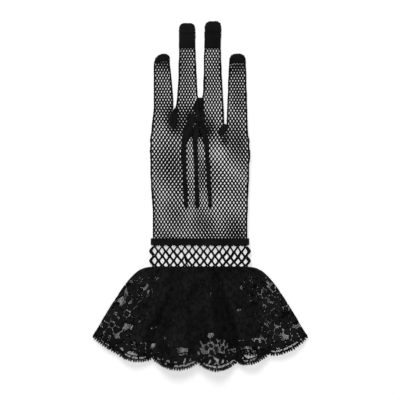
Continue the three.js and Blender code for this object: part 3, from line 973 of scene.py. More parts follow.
@dataclass
class OpenNet:
    """The open diamond net of thick cord between the band and the ruffle.

    first is the y of its top row, and under_band how far it runs on behind the band. The
    cord at each side swings out by bulge at every row.
    """

    mesh: Mesh = field(default_factory=lambda: Mesh(6.4, 8.24, 1.79, 2.68, 0.62, 5, 0.2))
    first: float = -0.05
    under_band: float = 1.6
    wall: float = 1.2
    top_size: float = 1.2
    rows: int = 5
    columns: int = 12
    cord: float = 0.8
    side_inset: float = 1.6
    bulge: float = 1.3
    gather_inset: float = 1.4
    gather_drop: float = 0.6
    seam_from: tuple[float, float] = (-14.4, -7.5)
    seam_run: tuple[float, float] = (5.4, -10.5)
    seam_rise: float = 0.5
    seam_cord: float = 0.42

    def build(self, yarn: bpy.types.Material) -> None:
        """Builds both sides of the net, its seam, and the cords at its sides and below it."""
        low, high = (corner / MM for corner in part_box("open_net"))
        bottom, top = low.y - WRIST_Y, high.y - WRIST_Y
        cells = self.cells()
        size = np.where(cells[:, 1] > self.first - 1, self.top_size, 1.0)
        across = np.linspace(-1, 1, 80)[:, None] * [high.x - self.gather_inset, 0]
        parts = []
        for upper in (True, False):
            cloth = SleeveCloth(
                high.x, high.z, bottom, top + self.under_band, self.wall, self.mesh.width, upper,
            )
            parts.append(self.mesh.lay(cloth, cells, size))
            parts.append(cord(cloth.lift(across + [0, bottom - self.gather_drop])[0], self.cord))
            if upper:
                parts.append(self.seam(cloth))
        y = np.linspace(top, bottom, 60)
        swing = self.bulge * np.cos((y - self.first) * 2 * math.pi / self.mesh.height)
        for way in (-1, 1):
            x = way * (high.x - self.side_inset - swing)
            parts.append(cord(np.column_stack([x, y, np.full(len(y), high.z / 2)]), self.cord))
        piece = make_piece("net_cords", join(parts), yarn)
        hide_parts("open_net")

    def seam(self, cloth: SleeveCloth) -> Shell:
        """Sweeps the cord of the seam, which runs down the upper side at a slant."""
        down = np.linspace(0, 1, 24)
        (x, y), (run, drop) = self.seam_from, self.seam_run
        points, normals = cloth.lift(np.column_stack([x + run * down, y + drop * down ** 1.2]))
        return cord(points + normals * self.seam_rise, self.seam_cord)

    def cells(self) -> np.ndarray:
        """Gives the centres of the net's diamonds."""
        found = []
        for row in range(self.rows):
            columns = self.columns + row % 2
            for column in range(columns):
                x = (column - (columns - 1) / 2) * self.mesh.width
                y = self.first - row * self.mesh.height / 2
                found.append([x, y])
        return np.array(found)


class Fold(NamedTuple):
    """A crest or a valley of the upper layer at the hem, u from -1 to 1 across it."""

    u: float
    z: float


class Scallop(NamedTuple):
    """Where one scallop of the hem ends and the next begins, and how far it hangs."""

    u: float
    y: float
    drop: float


class Crease(NamedTuple):
    """A soft crease of the upper layer between two places in plan."""

    x0: float
    y0: float
    x1: float
    y1: float
    width: float
    depth: float


@dataclass
class RuffleForm:
    """The middle surface of the ruffle's solid, with the lace's own soft creases.

    A place is a, once round from the left edge over the upper layer, and t, from the net
    to the hem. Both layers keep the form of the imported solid. fold_from and fold_to are the
    t where the folds begin and end, and side_bow the power that rounds the two sides, at the
    net and as it grows to the hem. The creases fade out over crease_fade near the sides.
    """

    top: float = -17.8
    wall: float = 1.0
    top_half: float = 43.6
    hem_half: float = 91.4
    shoulder: float = 7.6
    shoulder_at: float = 0.45
    top_height: float = 15.2
    edge_height: float = 5.0
    pleats: int = 11
    pleat_depth: float = 0.6
    pleat_reach: float = 0.3
    gather: float = 0.37
    under_ripples: int = 7
    under_ripple: float = 1.7
    under_side_y: float = -77.0
    under_middle_y: float = -95.5
    under_scallop: float = 3.2
    under_bow: float = 2.2
    fold_from: float = -0.15
    fold_to: float = 1.05
    side_bow: tuple[float, float] = (0.35, 0.15)
    crease_fade: tuple[float, float] = (0.3, 0.8)
    folds: tuple[Fold, ...] = (
        Fold(-1.0, 5.0), Fold(-0.9, 11.0), Fold(-0.8, 9.2), Fold(-0.63, 17.0), Fold(-0.46, 9.2),
        Fold(-0.26, 23.0), Fold(-0.04, 15.5), Fold(0.14, 25.0), Fold(0.33, 9.2), Fold(0.48, 19.0),
        Fold(0.65, 10.5), Fold(0.84, 14.5), Fold(0.94, 10.0), Fold(1.0, 5.0),
    )
    scallops: tuple[Scallop, ...] = (
        Scallop(-1.0, -77.0, 1.6), Scallop(-0.775, -91.0, 4.8), Scallop(-0.44, -95.2, 8.0),
        Scallop(-0.02, -98.2, 7.0), Scallop(0.336, -98.8, 4.7), Scallop(0.64, -91.4, 5.6),
        Scallop(1.0, -77.0, 0.0),
    )
    creases: tuple[Crease, ...] = (
        Crease(-18.2, -27.7, -42.5, -83.3, 3.6, 2.2), Crease(13.3, -26.4, 30.3, -90.4, 3.0, 4.6),
        Crease(-1.2, -62.9, -8.5, -75.7, 3.4, 1.3), Crease(-29.8, -33.2, -34.0, -51.0, 3.2, 1.3),
        Crease(24.3, -22.1, 41.3, -42.5, 2.6, 1.9), Crease(-11.0, -29.0, -3.0, -23.0, 2.2, 1.0),
        Crease(-3.0, -23.0, 5.0, -23.0, 2.2, 1.0), Crease(5.0, -23.0, 13.3, -27.0, 2.2, 1.2),
        Crease(37.0, -50.0, 45.0, -55.0, 2.6, 1.3), Crease(-22.0, -24.0, -26.0, -40.0, 3.0, 0.9),
        Crease(-2.0, -34.0, -7.0, -56.0, 4.0, 0.7), Crease(4.2, -72.0, 12.0, -84.0, 3.0, 1.0),
    )

    def share(
        self, rows: tuple[Fold, ...] | tuple[Scallop, ...], u: np.ndarray,
    ) -> tuple[np.ndarray, np.ndarray]:
        """Gives the row before each u, and how far u is from it to the next row."""
        places = np.array([row.u for row in rows])
        index = np.clip(np.searchsorted(places, u, side="left") - 1, 0, len(rows) - 2)
        return index, np.clip((u - places[index]) / (places[index + 1] - places[index]), 0, 1)

    def hem(self, u: np.ndarray, upper: np.ndarray) -> tuple[np.ndarray, np.ndarray]:
        """Gives the height and the y of the hem at each u."""
        i, share = self.share(self.folds, u)
        z = np.array([fold.z for fold in self.folds])
        upper_z = z[i] + (z[i + 1] - z[i]) * ease(share, 0, 1)
        j, share = self.share(self.scallops, u)
        y = np.array([scallop.y for scallop in self.scallops])
        drop = np.array([scallop.drop for scallop in self.scallops])
        upper_y = y[j] + (y[j + 1] - y[j]) * share - drop[j] * (4 * share * (1 - share)) ** 0.7
        phase = u * self.under_ripples * math.pi / 2
        hang = self.under_middle_y - self.under_side_y
        reach = self.under_side_y + hang * (1 - np.abs(u) ** self.under_bow)
        under_y = reach - self.under_scallop * (1 - u ** 4) * np.abs(np.cos(phase))
        under_z = self.wall / 2 + self.under_ripple * np.sin(phase) ** 2
        return np.where(upper, upper_z, under_z), np.where(upper, upper_y, under_y)

    def points(self, a: np.ndarray, t: np.ndarray) -> np.ndarray:
        """Gives the surface's points at places a and t."""
        angle = a * 2 * math.pi
        u = -np.cos(angle)
        upper = np.sin(angle) >= -1e-12
        hem_z, hem_y = self.hem(u, upper)
        gathered = u - self.gather * (1 - t) * u * (1 - u * u)
        half = self.top_half + (self.hem_half - self.top_half) * t
        half = half + self.shoulder * np.sin(math.pi * t ** self.shoulder_at)
        edge = self.top_height / 2 + (self.edge_height - self.top_height / 2) * t
        start = np.where(upper, self.top_height - self.wall / 2, self.wall / 2)
        folded = start + (hem_z - start) * ease(t, self.fold_from, self.fold_to)
        roundness = np.abs(np.sin(angle)) ** (self.side_bow[0] + self.side_bow[1] * t)
        pleat = self.pleat_depth * ease(self.pleat_reach - t, 0, self.pleat_reach)
        pleat = pleat * np.cos(4 * math.pi * self.pleats * a) * upper
        x, y = gathered * half, self.top + (hem_y - self.top) * t
        z = edge + (folded + pleat - edge) * roundness
        crease = self.creased(x, y) * upper * ease(roundness, *self.crease_fade)
        return np.stack([x, y, z - crease], -1)

    def creased(self, x: np.ndarray, y: np.ndarray) -> np.ndarray:
        """Gives how deep the creases are at places in plan."""
        depth = np.zeros(x.shape)
        for crease in self.creases:
            along = np.array([crease.x1 - crease.x0, crease.y1 - crease.y0])
            length = np.linalg.norm(along)
            along = along / length
            run = (x - crease.x0) * along[0] + (y - crease.y0) * along[1]
            off = (x - crease.x0) * along[1] - (y - crease.y0) * along[0]
            past = np.maximum(0, np.maximum(-run, run - length))
            near = np.exp(-(off / crease.width) ** 2 - (past / crease.width) ** 2)
            depth = np.maximum(depth, crease.depth * near)
        return depth


@dataclass
class LaceLayer(Cloth):
    """The upper or under layer of the ruffle as a cloth.

    A place is s, from the left edge to the right along the hem, and v, from the net to the
    hem, in millimetres of the flat lace at its hem. steps are the rows and columns of the
    layer's grid, ripple the height of its finest waves and lowest the least height of a point.
    """

    form: RuffleForm
    upper: bool
    steps: tuple[int, int] = (900, 90)
    ripple: float = 0.3
    lowest: float = 0.35

    def __post_init__(self) -> None:
        """Works out the layer's points on a grid that is even along its length."""
        around = np.linspace(0, 0.5, 2400)
        count, rows = self.steps
        ts = np.linspace(0, 1, rows)
        lines = []
        for t in ts:
            line = self.form.points(self.side(around), np.full(len(around), t))
            length = np.concatenate([[0], np.cumsum(np.linalg.norm(np.diff(line, axis=0), axis=1))])
            even = np.interp(np.linspace(0, length[-1], count), length, around)
            lines.append(self.form.points(self.side(even), np.full(count, t)))
        self.table = np.stack(lines, 1)
        self.width = float(length[-1])
        if self.upper:
            along = np.linspace(0, self.width, count)[:, None]
            soft = np.sin(along / 3.3 + 9 * ts[None]) * np.sin(11 * ts[None] - along / 23)
            self.table[..., 2] += self.ripple * soft * ease(ts, 0, 0.2)[None]
        self.table[..., 2] = np.maximum(self.table[..., 2], self.lowest)
        middle = self.table[count // 2]
        self.length = float(np.linalg.norm(np.diff(middle, axis=0), axis=1).sum())
        normal = np.cross(np.gradient(self.table, axis=0), np.gradient(self.table, axis=1))
        normal /= np.maximum(np.linalg.norm(normal, axis=2, keepdims=True), 1e-9)
        self.normals = -normal if self.upper else normal

    def side(self, around: np.ndarray) -> np.ndarray:
        """Turns places on the upper layer to those below them on this one."""
        return around if self.upper else 1 - around

    def inside(self, places: np.ndarray) -> np.ndarray:
        """Tells which places are on the layer."""
        s, v = places[:, 0], places[:, 1]
        return (s >= 0) & (s <= self.width) & (v >= 0) & (v <= self.length)

    def lift(self, places: np.ndarray) -> tuple[np.ndarray, np.ndarray]:
        """Gives the layer's points and its outward normals."""
        rows, columns = self.steps
        i = np.clip(places[:, 0] / self.width * (rows - 1), 0, rows - 1.001)
        j = np.clip(places[:, 1] / self.length * (columns - 1), 0, columns - 1.001)
        return between(self.table, i, j), between(self.normals, i, j)

    def place_of(self, x: float, y: float) -> np.ndarray:
        """Finds the place of the layer that lies at x and y in plan."""
        off = np.hypot(self.table[..., 0] - x, self.table[..., 1] - y)
        i, j = np.unravel_index(np.argmin(off), off.shape)
        rows, columns = off.shape
        return np.array([i / (rows - 1) * self.width, j / (columns - 1) * self.length])


class Petal(NamedTuple):
    """A closely stitched shape of the lace: an egg with its wide end outwards."""

    s: float
    v: float
    length: float
    width: float
    turn: float


class Window(NamedTuple):
    """A place in plan where the lace shows its open ground, with its half sizes.

    Petals lie in some windows, and the ground shows round them: petal is their size, where 1
    is full size, or 0 where there are none.
    """

    x: float
    y: float
    across: float
    along: float
    turn: float
    petal: float = 0.0


class Stripe(NamedTuple):
    """An open line along the hem: its row, from where to where in x, and its holes' size."""

    row: int
    low: float
    high: float
    size: float


class Ring(NamedTuple):
    """A ring of a petal's plate, as shares of the petal's size and of the height it is raised."""

    size: float
    height: float


@dataclass
class LaceRuffle:
    """The gathered lace: its ground net, its stitched flowers and its corded edge.

    Flowers stand in rows from hem_row above the hem. Open lines run round the petals, over
    the shares that outline gives, and between two petals as near to each other as shared
    says. lines_body, lines_side and lines_hem are how many of them show in the ruffle's
    middle, and how many more near its sides and its hem: they grow fewer over side_reach and
    hem_reach, and begin over net_reach. The corded edge is edge_width wide.
    """

    form: RuffleForm = field(default_factory=RuffleForm)
    ground: Mesh = field(default_factory=lambda: Mesh(1.4, 1.75, 0.46, 0.58, 0.15, 1))
    flare: float = 0.72
    row_pitch: float = 17.0
    column_pitch: float = 19.5
    hem_row: float = 21.5
    border_pitch: float = 7.4
    border: float = 9.0
    border_long: float = 3.3
    border_wide: float = 3.4
    centre: float = 2.6
    petals: int = 6
    reach: float = 6.2
    petal_length: float = 3.4
    petal_width: float = 3.3
    raised: float = 0.3
    rings: tuple[Ring, ...] = (
        Ring(0.93, -0.1), Ring(1.0, 0.25), Ring(0.84, 1.0), Ring(0.66, 0.55), Ring(0.3, 0.7),
    )
    ring_middle: float = 0.75
    outline: tuple[float, float] = (1.03, 1.3)
    shared: float = 0.27
    lines_body: float = 0.12
    lines_side: float = 0.8
    lines_hem: float = 0.55
    lines_most: float = 0.85
    side_reach: tuple[float, float] = (26.0, 56.0)
    hem_reach: tuple[float, float] = (10.0, 22.0)
    net_reach: tuple[float, float] = (4.0, 16.0)
    hole: float = 0.86
    edge_depth: float = 1.2
    edge_width: float = 6.1
    hem_cords: tuple[tuple[float, float], ...] = ((3.1, 0.38), (5.65, 0.45))
    knot_pitch: float = 2.25
    knot_inset: float = 1.9
    knot_size: tuple[float, float, float] = (0.95, 1.8, 0.75)
    # The open rows' two edges, from the hem inwards.
    stripe_rows: tuple[tuple[float, float], ...] = ((3.4, 5.2), (6.8, 7.9))
    stripes: tuple[Stripe, ...] = (
        Stripe(0, -88.0, -72.0, 0.85), Stripe(0, -63.0, -46.0, 0.85),
        Stripe(0, -36.0, -28.0, 0.7), Stripe(0, -22.0, -2.0, 0.8),
        Stripe(0, 3.0, 29.0, 0.9), Stripe(0, 36.0, 48.0, 0.6),
        Stripe(0, 60.0, 92.0, 1.0), Stripe(1, -34.0, -12.0, 0.8),
        Stripe(1, 66.0, 88.0, 1.0), Stripe(1, -68.0, -50.0, 0.8),
        Stripe(1, -8.0, 4.0, 0.7), Stripe(1, 22.0, 40.0, 0.7),
    )
    windows: tuple[Window, ...] = (
        Window(-66.8, -46.5, 4.8, 5.2, 20), Window(-59.0, -55.0, 3.0, 3.0, -20),
        Window(-61.2, -68.9, 4.0, 3.2, 10), Window(-46.3, -86.3, 3.0, 2.2, 30),
        Window(-59.0, -90.0, 6.0, 2.2, -25), Window(-14.4, -88.0, 7.4, 3.8, 18),
        Window(14.0, -88.0, 19.0, 9.0, 4, 0.78), Window(41.3, -89.7, 9.0, 5.6, 12),
        Window(82.5, -68.2, 5.4, 2.4, 25), Window(77.0, -76.0, 9.0, 3.6, 22, 0.9),
        Window(61.8, -35.0, 5.4, 6.0, -20, 0.9), Window(52.0, -40.0, 6.0, 5.0, 0, 0.9),
        Window(74.8, -51.0, 5.0, 5.2, 20, 0.95), Window(35.0, -79.5, 3.6, 1.6, 0),
        Window(48.0, -78.2, 6.5, 3.2, 10, 0.85), Window(65.0, -69.7, 8.5, 2.8, 38, 0.92),
        Window(8.8, -74.4, 4.4, 2.2, -15), Window(-45.0, -36.0, 4.0, 3.4, 0, 0.9),
        Window(-62.8, -35.0, 8.0, 1.6, 52), Window(-73.5, -68.0, 11.0, 9.0, 0, 0.94),
        Window(-52.0, -29.0, 3.0, 3.0, 40, 0.95), Window(70.0, -38.0, 4.4, 1.5, -48),
        Window(-28.0, -80.0, 5.0, 2.2, 10, 0.9), Window(-38.0, -84.0, 4.0, 2.2, 0, 0.85),
    )

    def build(self, ground_yarn_and_shade: bpy.types.Material, flower_yarn_and_highlight: bpy.types.Material) -> None:
        """Builds both layers with their flowers and edging.

        Args:
            ground_yarn_and_shade: the finish of the ground net.
            flower_yarn_and_highlight: the finish of the stitched flowers and the edging.
        """
        for upper, name in ((True, "upper"), (False, "under")):
            layer = LaceLayer(self.form, upper)
            blobs = self.layout(layer)
            ground = self.ground.lay(layer, *self.openness(layer, blobs))
            ground = make_piece(f"lace_{name}", ground, ground_yarn_and_shade)
            flowers = self.plates(layer, blobs)
            flowers = make_piece(f"flowers_{name}", flowers, flower_yarn_and_highlight)
            edging = make_piece(f"edging_{name}", self.edging(layer), flower_yarn_and_highlight)
            # The ruffle's solid is hidden once the upper layer is made. The lace follows that solid's
            # form, which is wider at its hem than where it is gathered to the net.
            if upper:
                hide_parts("lace_ruffle")

    def windows_on(self, layer: LaceLayer, petals: bool) -> np.ndarray:
        """Gives the windows with or without petals as rows of s, v, half sizes and turn.

        The under layer has none with petals: it is bare below all of them.
        """
        rows = []
        for window in self.windows:
            if (window.petal > 0 and layer.upper) is not petals:
                continue
            s, v = layer.place_of(window.x, window.y)
            rows.append([s, v, window.across, window.along, math.radians(window.turn)])
        return np.array(rows)

    def nearest(self, places: np.ndarray, shapes: np.ndarray) -> tuple[np.ndarray, np.ndarray]:
        """Measures how near places are to some ellipses.

        Args:
            places: rows of s and v.
            shapes: rows of s, v, half length, half width and turn.

        Returns:
            For each place its distance from the nearest and from the second nearest ellipse's
            centre, as a share of the way to that ellipse's outline.
        """
        first = np.full(len(places), 9.0)
        second = first.copy()
        for s, v, long, wide, turn in shapes:
            ds, dv = places[:, 0] - s, places[:, 1] - v
            along = ds * math.cos(turn) + dv * math.sin(turn)
            across = dv * math.cos(turn) - ds * math.sin(turn)
            share = np.hypot(along / long, across / wide)
            second = np.minimum(second, np.maximum(first, share))
            first = np.minimum(first, share)
        return first, second

    def layout(self, layer: LaceLayer) -> np.ndarray:
        """Lays out flowers in staggered rows, leaves between them and a border at the hem.

        Args:
            layer: the layer that the flowers lie on.

        Returns:
            Rows of s, v, half length, half width and turn, one for each petal.
        """
        draw = np.random.default_rng(SEED)
        wide, long = layer.width, layer.length
        columns = round(wide / self.column_pitch)
        pitch = wide / columns
        found: list[Petal] = []
        for row in range(int((long - 14.0) // self.row_pitch) + 1):
            for column in range(-1, columns + 1):
                s = (column + 0.5 + 0.5 * (row % 2)) * pitch + draw.uniform(-1, 1)
                v = long - self.hem_row - row * self.row_pitch + draw.uniform(-0.8, 0.8)
                size, turn = draw.uniform(0.92, 1.1), draw.uniform(0, math.pi)
                if layer.upper or (row // 2 + column) % 2:
                    found += self.flower(s, v, size, turn)
                    found += self.leaves(s, v, pitch, draw.uniform(-0.3, 0.3))
        count = round(wide / self.border_pitch)
        for i in range(count):
            s, small = (i + 0.5) * wide / count, 1.0 - 0.3 * (i % 2)
            v = long - self.border + 0.8 * (i % 2)
            found.append(Petal(s, v, self.border_long * small, self.border_wide * small, 0.0))
        petals = np.array([p for p in found if -2 < p.s < wide + 2 and 1 < p.v < long - 4.4])
        sizes = [window.petal for window in self.windows if window.petal > 0]
        for row, size in zip(self.windows_on(layer, True), sizes):
            petals[self.nearest(petals[:, :2], row[None])[0] < 1.0, 2:4] *= size
        return petals[self.nearest(petals[:, :2], self.windows_on(layer, False))[0] > 1.15]

    def flower(self, s: float, v: float, size: float, turn: float) -> list[Petal]:
        """Makes the petals and the centre of a flower."""
        made = [Petal(s, v, self.centre * size, self.centre * size, turn)]
        for i in range(self.petals):
            angle = turn + i * 2 * math.pi / self.petals
            out = self.reach * size
            made.append(Petal(
                s + out * math.cos(angle), v + out * math.sin(angle),
                self.petal_length * size, self.petal_width * size, angle,
            ))
        return made

    def leaves(self, s: float, v: float, pitch: float, lean: float) -> list[Petal]:
        """Makes the leaves and buds between a flower and its neighbours."""
        made = []
        for way in (-1, 1):
            made.append(Petal(s + way * pitch * 0.29, v + 9.4, 3.6, 1.7, way * (0.8 + lean)))
        made.append(Petal(s, v + 11.0, 2.4, 2.2, 0.0))
        made.append(Petal(s + pitch * 0.5, v - 0.5, 1.7, 3.4, lean))
        return made

    def openness(
        self, layer: LaceLayer, blobs: np.ndarray,
    ) -> tuple[np.ndarray, np.ndarray, np.ndarray]:
        """Chooses which cells of the ground are open: thin lines round the petals.

        Args:
            layer: the layer.
            blobs: its petals.

        Returns:
            The cells' centres, the sizes of their holes and whether each cell is closed.
        """
        cells = self.ground.centres((0, 0), (layer.width, layer.length))
        cells = cells[layer.inside(cells)]
        s, v = cells[:, 0], cells[:, 1]
        to_hem, from_side = layer.length - v, np.minimum(s, layer.width - s)
        first, second = self.nearest(cells, blobs)
        near, far = self.outline
        line = ((first > near) & (first < far)) | ((second - first < self.shared) & (first > 0.74))
        # Soft bands decide where a line shows and where the threads close it.
        band = np.sin(s / 2.9 + v / 5.1) + np.sin(v / 3.3 - s / 8.3 + 1) + np.sin(s / 6.7 + v / 2.7 + 2)
        likely = (
            self.lines_body + self.lines_side * (1 - ease(from_side, *self.side_reach))
            + self.lines_hem * (1 - ease(to_hem, *self.hem_reach))
        )
        likely = likely * ease(v, *self.net_reach) if layer.upper else np.ones(len(cells))
        bare, petalled = (self.nearest(cells, self.windows_on(layer, p))[0] for p in (False, True))
        ragged = 1 + band / 12 if layer.upper else 1.2
        line |= (not layer.upper) & (first > 0.97)
        window = (bare < ragged) & (first > 0.9) | (petalled < ragged) & (line | (first > 0.95))
        lines = line & (band / 6 + 0.5 < np.minimum(likely, self.lines_most))
        shown = (to_hem > self.edge_width) & (lines | window)
        size = np.where(window, 1.0, self.hole)
        x = layer.lift(cells)[0][:, 0]
        for stripe in self.stripes:
            near, far = self.stripe_rows[stripe.row]
            on = (to_hem > near) & (to_hem < far) & (x > stripe.low) & (x < stripe.high)
            # The open row breaks off here and there.
            on &= (band > -1.5) & (np.sin(s * 1.3 + 2 * np.sin(s / 5)) > -0.85)
            shown |= on
            size[on] = stripe.size
        # Small open specks lie between the hem's knots.
        gaps = np.cos(s * 2 * math.pi * self.knots(layer) / layer.width) > 0.3
        speck = (to_hem < self.hem_cords[0][0]) & gaps & (np.sin(s / 2.3 + v) + np.sin(s / 7.1) > -0.5)
        kept = to_hem > self.edge_depth
        return cells[kept], size[kept], ~(shown | speck)[kept]

    def plates(self, layer: LaceLayer, petals: np.ndarray, around: int = 12) -> Shell:
        """Makes each petal a low plate with a corded outline.

        Args:
            layer: the layer that they lie on.
            petals: the petals.
            around: the points round a petal.

        Returns:
            The plates' points and triangles.
        """
        angle = np.arange(around) / around * 2 * math.pi
        egg = np.stack([np.cos(angle), np.sin(angle) * (1 + 0.22 * np.cos(angle))], -1)
        shape = np.concatenate([egg * ring.size for ring in self.rings] + [np.zeros((2, 2))])
        heights = [np.full(around, ring.height) for ring in self.rings]
        heights.append(np.array([self.ring_middle, self.rings[0].height]))
        height = np.concatenate(heights) * self.raised
        cos, sin = np.cos(petals[:, 4])[:, None], np.sin(petals[:, 4])[:, None]
        along = shape[None, :, 0] * petals[:, 2, None]
        across = shape[None, :, 1] * petals[:, 3, None]
        places = np.stack([
            petals[:, 0, None] + along * cos - across * sin,
            petals[:, 1, None] + along * sin + across * cos,
        ], -1)
        size = shape.shape[0]
        points, normals = layer.lift(places.reshape(-1, 2))
        points = points + normals * (np.tile(height, len(petals))[:, None] + self.ground.thick)
        first = np.arange(around)
        turn = (first + 1) % around
        triangles = []
        for ring in range(len(self.rings) - 1):
            a, b = first + ring * around, turn + ring * around
            c, d = b + around, a + around
            triangles += [np.stack([a, b, c], -1), np.stack([a, c, d], -1)]
        last = (len(self.rings) - 1) * around
        top = np.full(around, last + around)
        triangles.append(np.stack([first + last, turn + last, top], -1))
        triangles.append(np.stack([turn, first, top + 1], -1))
        one = np.concatenate(triangles)
        if layer.upper:
            one = one[:, ::-1]
        faces = (one[None] + (np.arange(len(petals)) * size)[:, None, None]).reshape(-1, 3)
        return points, [faces]

    def knots(self, layer: LaceLayer) -> int:
        """Counts the knots along the hem."""
        return round(layer.width / self.knot_pitch)

    def edging(self, layer: LaceLayer) -> Shell:
        """Makes the hem's row of thick bars of thread and the cords that hold them."""
        line = np.linspace(0, layer.width, 900)
        parts = []
        for depth, radius in self.hem_cords:
            places = np.column_stack([line, np.full(len(line), layer.length - depth)])
            points, normals = layer.lift(places)
            thick = radius * (1 + 0.2 * np.sin(line * 2 * math.pi / 1.7))
            parts.append(tube(points + normals * 0.1, thick, 6))
        count = self.knots(layer)
        draw = np.random.default_rng(SEED + 2)
        s = (np.arange(count) + 0.5 + draw.uniform(-0.12, 0.12, count)) * layer.width / count
        size = draw.uniform(0.85, 1.12, count)
        v = layer.length - self.knot_inset + draw.uniform(-0.15, 0.15, count)
        centre = np.column_stack([s, v])
        place, normal = layer.lift(centre)
        ahead = layer.lift(centre + [0.4, 0])[0] - layer.lift(centre - [0.4, 0])[0]
        down = layer.lift(centre + [0, 0.4])[0] - layer.lift(centre - [0, 0.4])[0]
        ahead /= np.linalg.norm(ahead, axis=1, keepdims=True)
        down -= ahead * (down * ahead).sum(1, keepdims=True)
        down /= np.linalg.norm(down, axis=1, keepdims=True)
        ball, quads = round_knot()
        along, deep, high = self.knot_size
        shaped = (
            ball[None, :, 0, None] * ahead[:, None] * along
            + ball[None, :, 1, None] * down[:, None] * deep
            + ball[None, :, 2, None] * normal[:, None] * high
        ) * size[:, None, None]
        points = (place[:, None] + shaped).reshape(-1, 3)
        faces = (quads[None] + (np.arange(count) * len(ball))[:, None, None]).reshape(-1, 4)
        parts.append((points, [faces]))
        return join(parts)


def round_knot(around: int = 10, rows: int = 6) -> tuple[np.ndarray, np.ndarray]:
    """Makes a knot of thread: a unit ball with shallow turns of thread round it.

    Args:
        around: the points round it.
        rows: the rings from end to end.

    Returns:
        Its points and four-sided faces.
    """
    bow = np.linspace(0.02, math.pi - 0.02, rows)[:, None]
    turn = (np.arange(around) / around * 2 * math.pi)[None]
    radius = 1 + 0.07 * np.cos(bow * 8)
    points = np.stack([
        np.sin(bow) * np.cos(turn) * radius, np.cos(bow) * np.ones_like(turn),
        np.sin(bow) * np.sin(turn) * radius,
    ], -1)
    number = np.arange(rows * around).reshape(rows, around)
    a, b = number[:-1], number[1:]
    quads = np.stack([a, b, np.roll(b, -1, 1), np.roll(a, -1, 1)], -1).reshape(-1, 4)
    return points.reshape(-1, 3), quads


class Softness(NamedTuple):
    """How a solid is softened: the size of its voxels, and the rounds of smoothing."""

    voxel: float
    rounds: int


@dataclass
class CloseKnit:
    """The closely knitted tips, raised points, forks and wrist band.

    A line of stitches closes two of the tips: seams gives its y in the working frame. The
    band's lower edge is drawn up in an arch over each hole of the open net, and gives up to
    arch_reach above that edge.
    """

    yarn: bpy.types.Material
    tip: Softness = Softness(0.45, 5)
    point: Softness = Softness(0.3, 4)
    fork: Softness = Softness(0.25, 3)
    band: Softness = Softness(0.42, 3)
    seams: tuple[tuple[str, float], ...] = (("middle_cap", 179.9), ("ring_cap", 181.3))
    seam_depth: float = 1.2
    seam_width: float = 0.6
    arch: float = 0.9
    arch_reach: float = 4.5

    def build(self, pitch: float) -> None:
        """Builds every closely knitted piece.

        Args:
            pitch: the width of the open net's cells in millimetres.
        """
        seams = dict(self.seams)
        for node in CAP_NODES:
            tip = self.soften(node, self.tip)
            if node in seams:
                self.draw_seam(tip, seams[node])
        for node in POINT_NODES:
            self.soften(node, self.point)
        for node in FORK_NODES:
            self.soften(node, self.fork)
        self.draw_arches(self.soften(BAND_NODE, self.band), pitch)

    def soften(self, node: str, softness: Softness) -> bpy.types.Object:
        """Makes a piece from its CAD node: the same form with soft edges.

        Args:
            node: the CAD node.
            softness: how it is softened.

        Returns:
            The piece, which replaces the node.
        """
        bpy.ops.object.select_all(action="DESELECT")
        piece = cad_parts[node].copy()
        piece.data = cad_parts[node].data.copy()
        piece.name = node.replace("_cap", "_tip") + "_knit"
        for key in list(piece.keys()):
            del piece[key]
        bpy.context.scene.collection.objects.link(piece)
        piece.parent = None
        piece.select_set(True)
        bpy.context.view_layer.objects.active = piece
        bpy.ops.object.mode_set(mode="EDIT")
        bpy.ops.mesh.select_all(action="SELECT")
        bpy.ops.mesh.remove_doubles(threshold=1e-6)
        bpy.ops.object.mode_set(mode="OBJECT")
        remesh = piece.modifiers.new("soften", "REMESH")
        remesh.mode = "VOXEL"
        remesh.voxel_size = softness.voxel * MM
        bpy.ops.object.modifier_apply(modifier=remesh.name)
        relax = piece.modifiers.new("relax", "SMOOTH")
        relax.iterations = softness.rounds
        relax.factor = 0.5
        bpy.ops.object.modifier_apply(modifier=relax.name)
        bpy.ops.object.shade_smooth()
        piece.select_set(False)
        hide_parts(node)
        return dress(piece, self.yarn)

    def draw_seam(self, tip: bpy.types.Object, at: float) -> None:
        """Draws a tip in along the line of stitches that closes it.

        Args:
            tip: the knitted tip.
            at: the line's y in the working frame.
        """
        points = read(tip.data.vertices, "co")
        normals = read(tip.data.vertex_normals, "vector")
        off = points[:, 1] / MM - WRIST_Y - at
        depth = self.seam_depth * MM * np.exp(-(off / self.seam_width) ** 2)
        points -= normals * depth[:, None]
        move(tip, points)

    def draw_arches(self, band: bpy.types.Object, pitch: float) -> None:
        """Draws the band's lower edge up in an arch over each hole of the open net.

        Args:
            band: the knitted band.
            pitch: the width of the net's cells in millimetres.
        """
        points = read(band.data.vertices, "co")
        x, up = points[:, 0] / MM, (points[:, 1] - points[:, 1].min()) / MM
        arch = (0.5 - 0.5 * np.cos(x * 2 * math.pi / pitch)) ** 0.7
        points[:, 1] += self.arch * MM * arch * np.clip(1 - up / self.arch_reach, 0, 1)
        move(band, points)


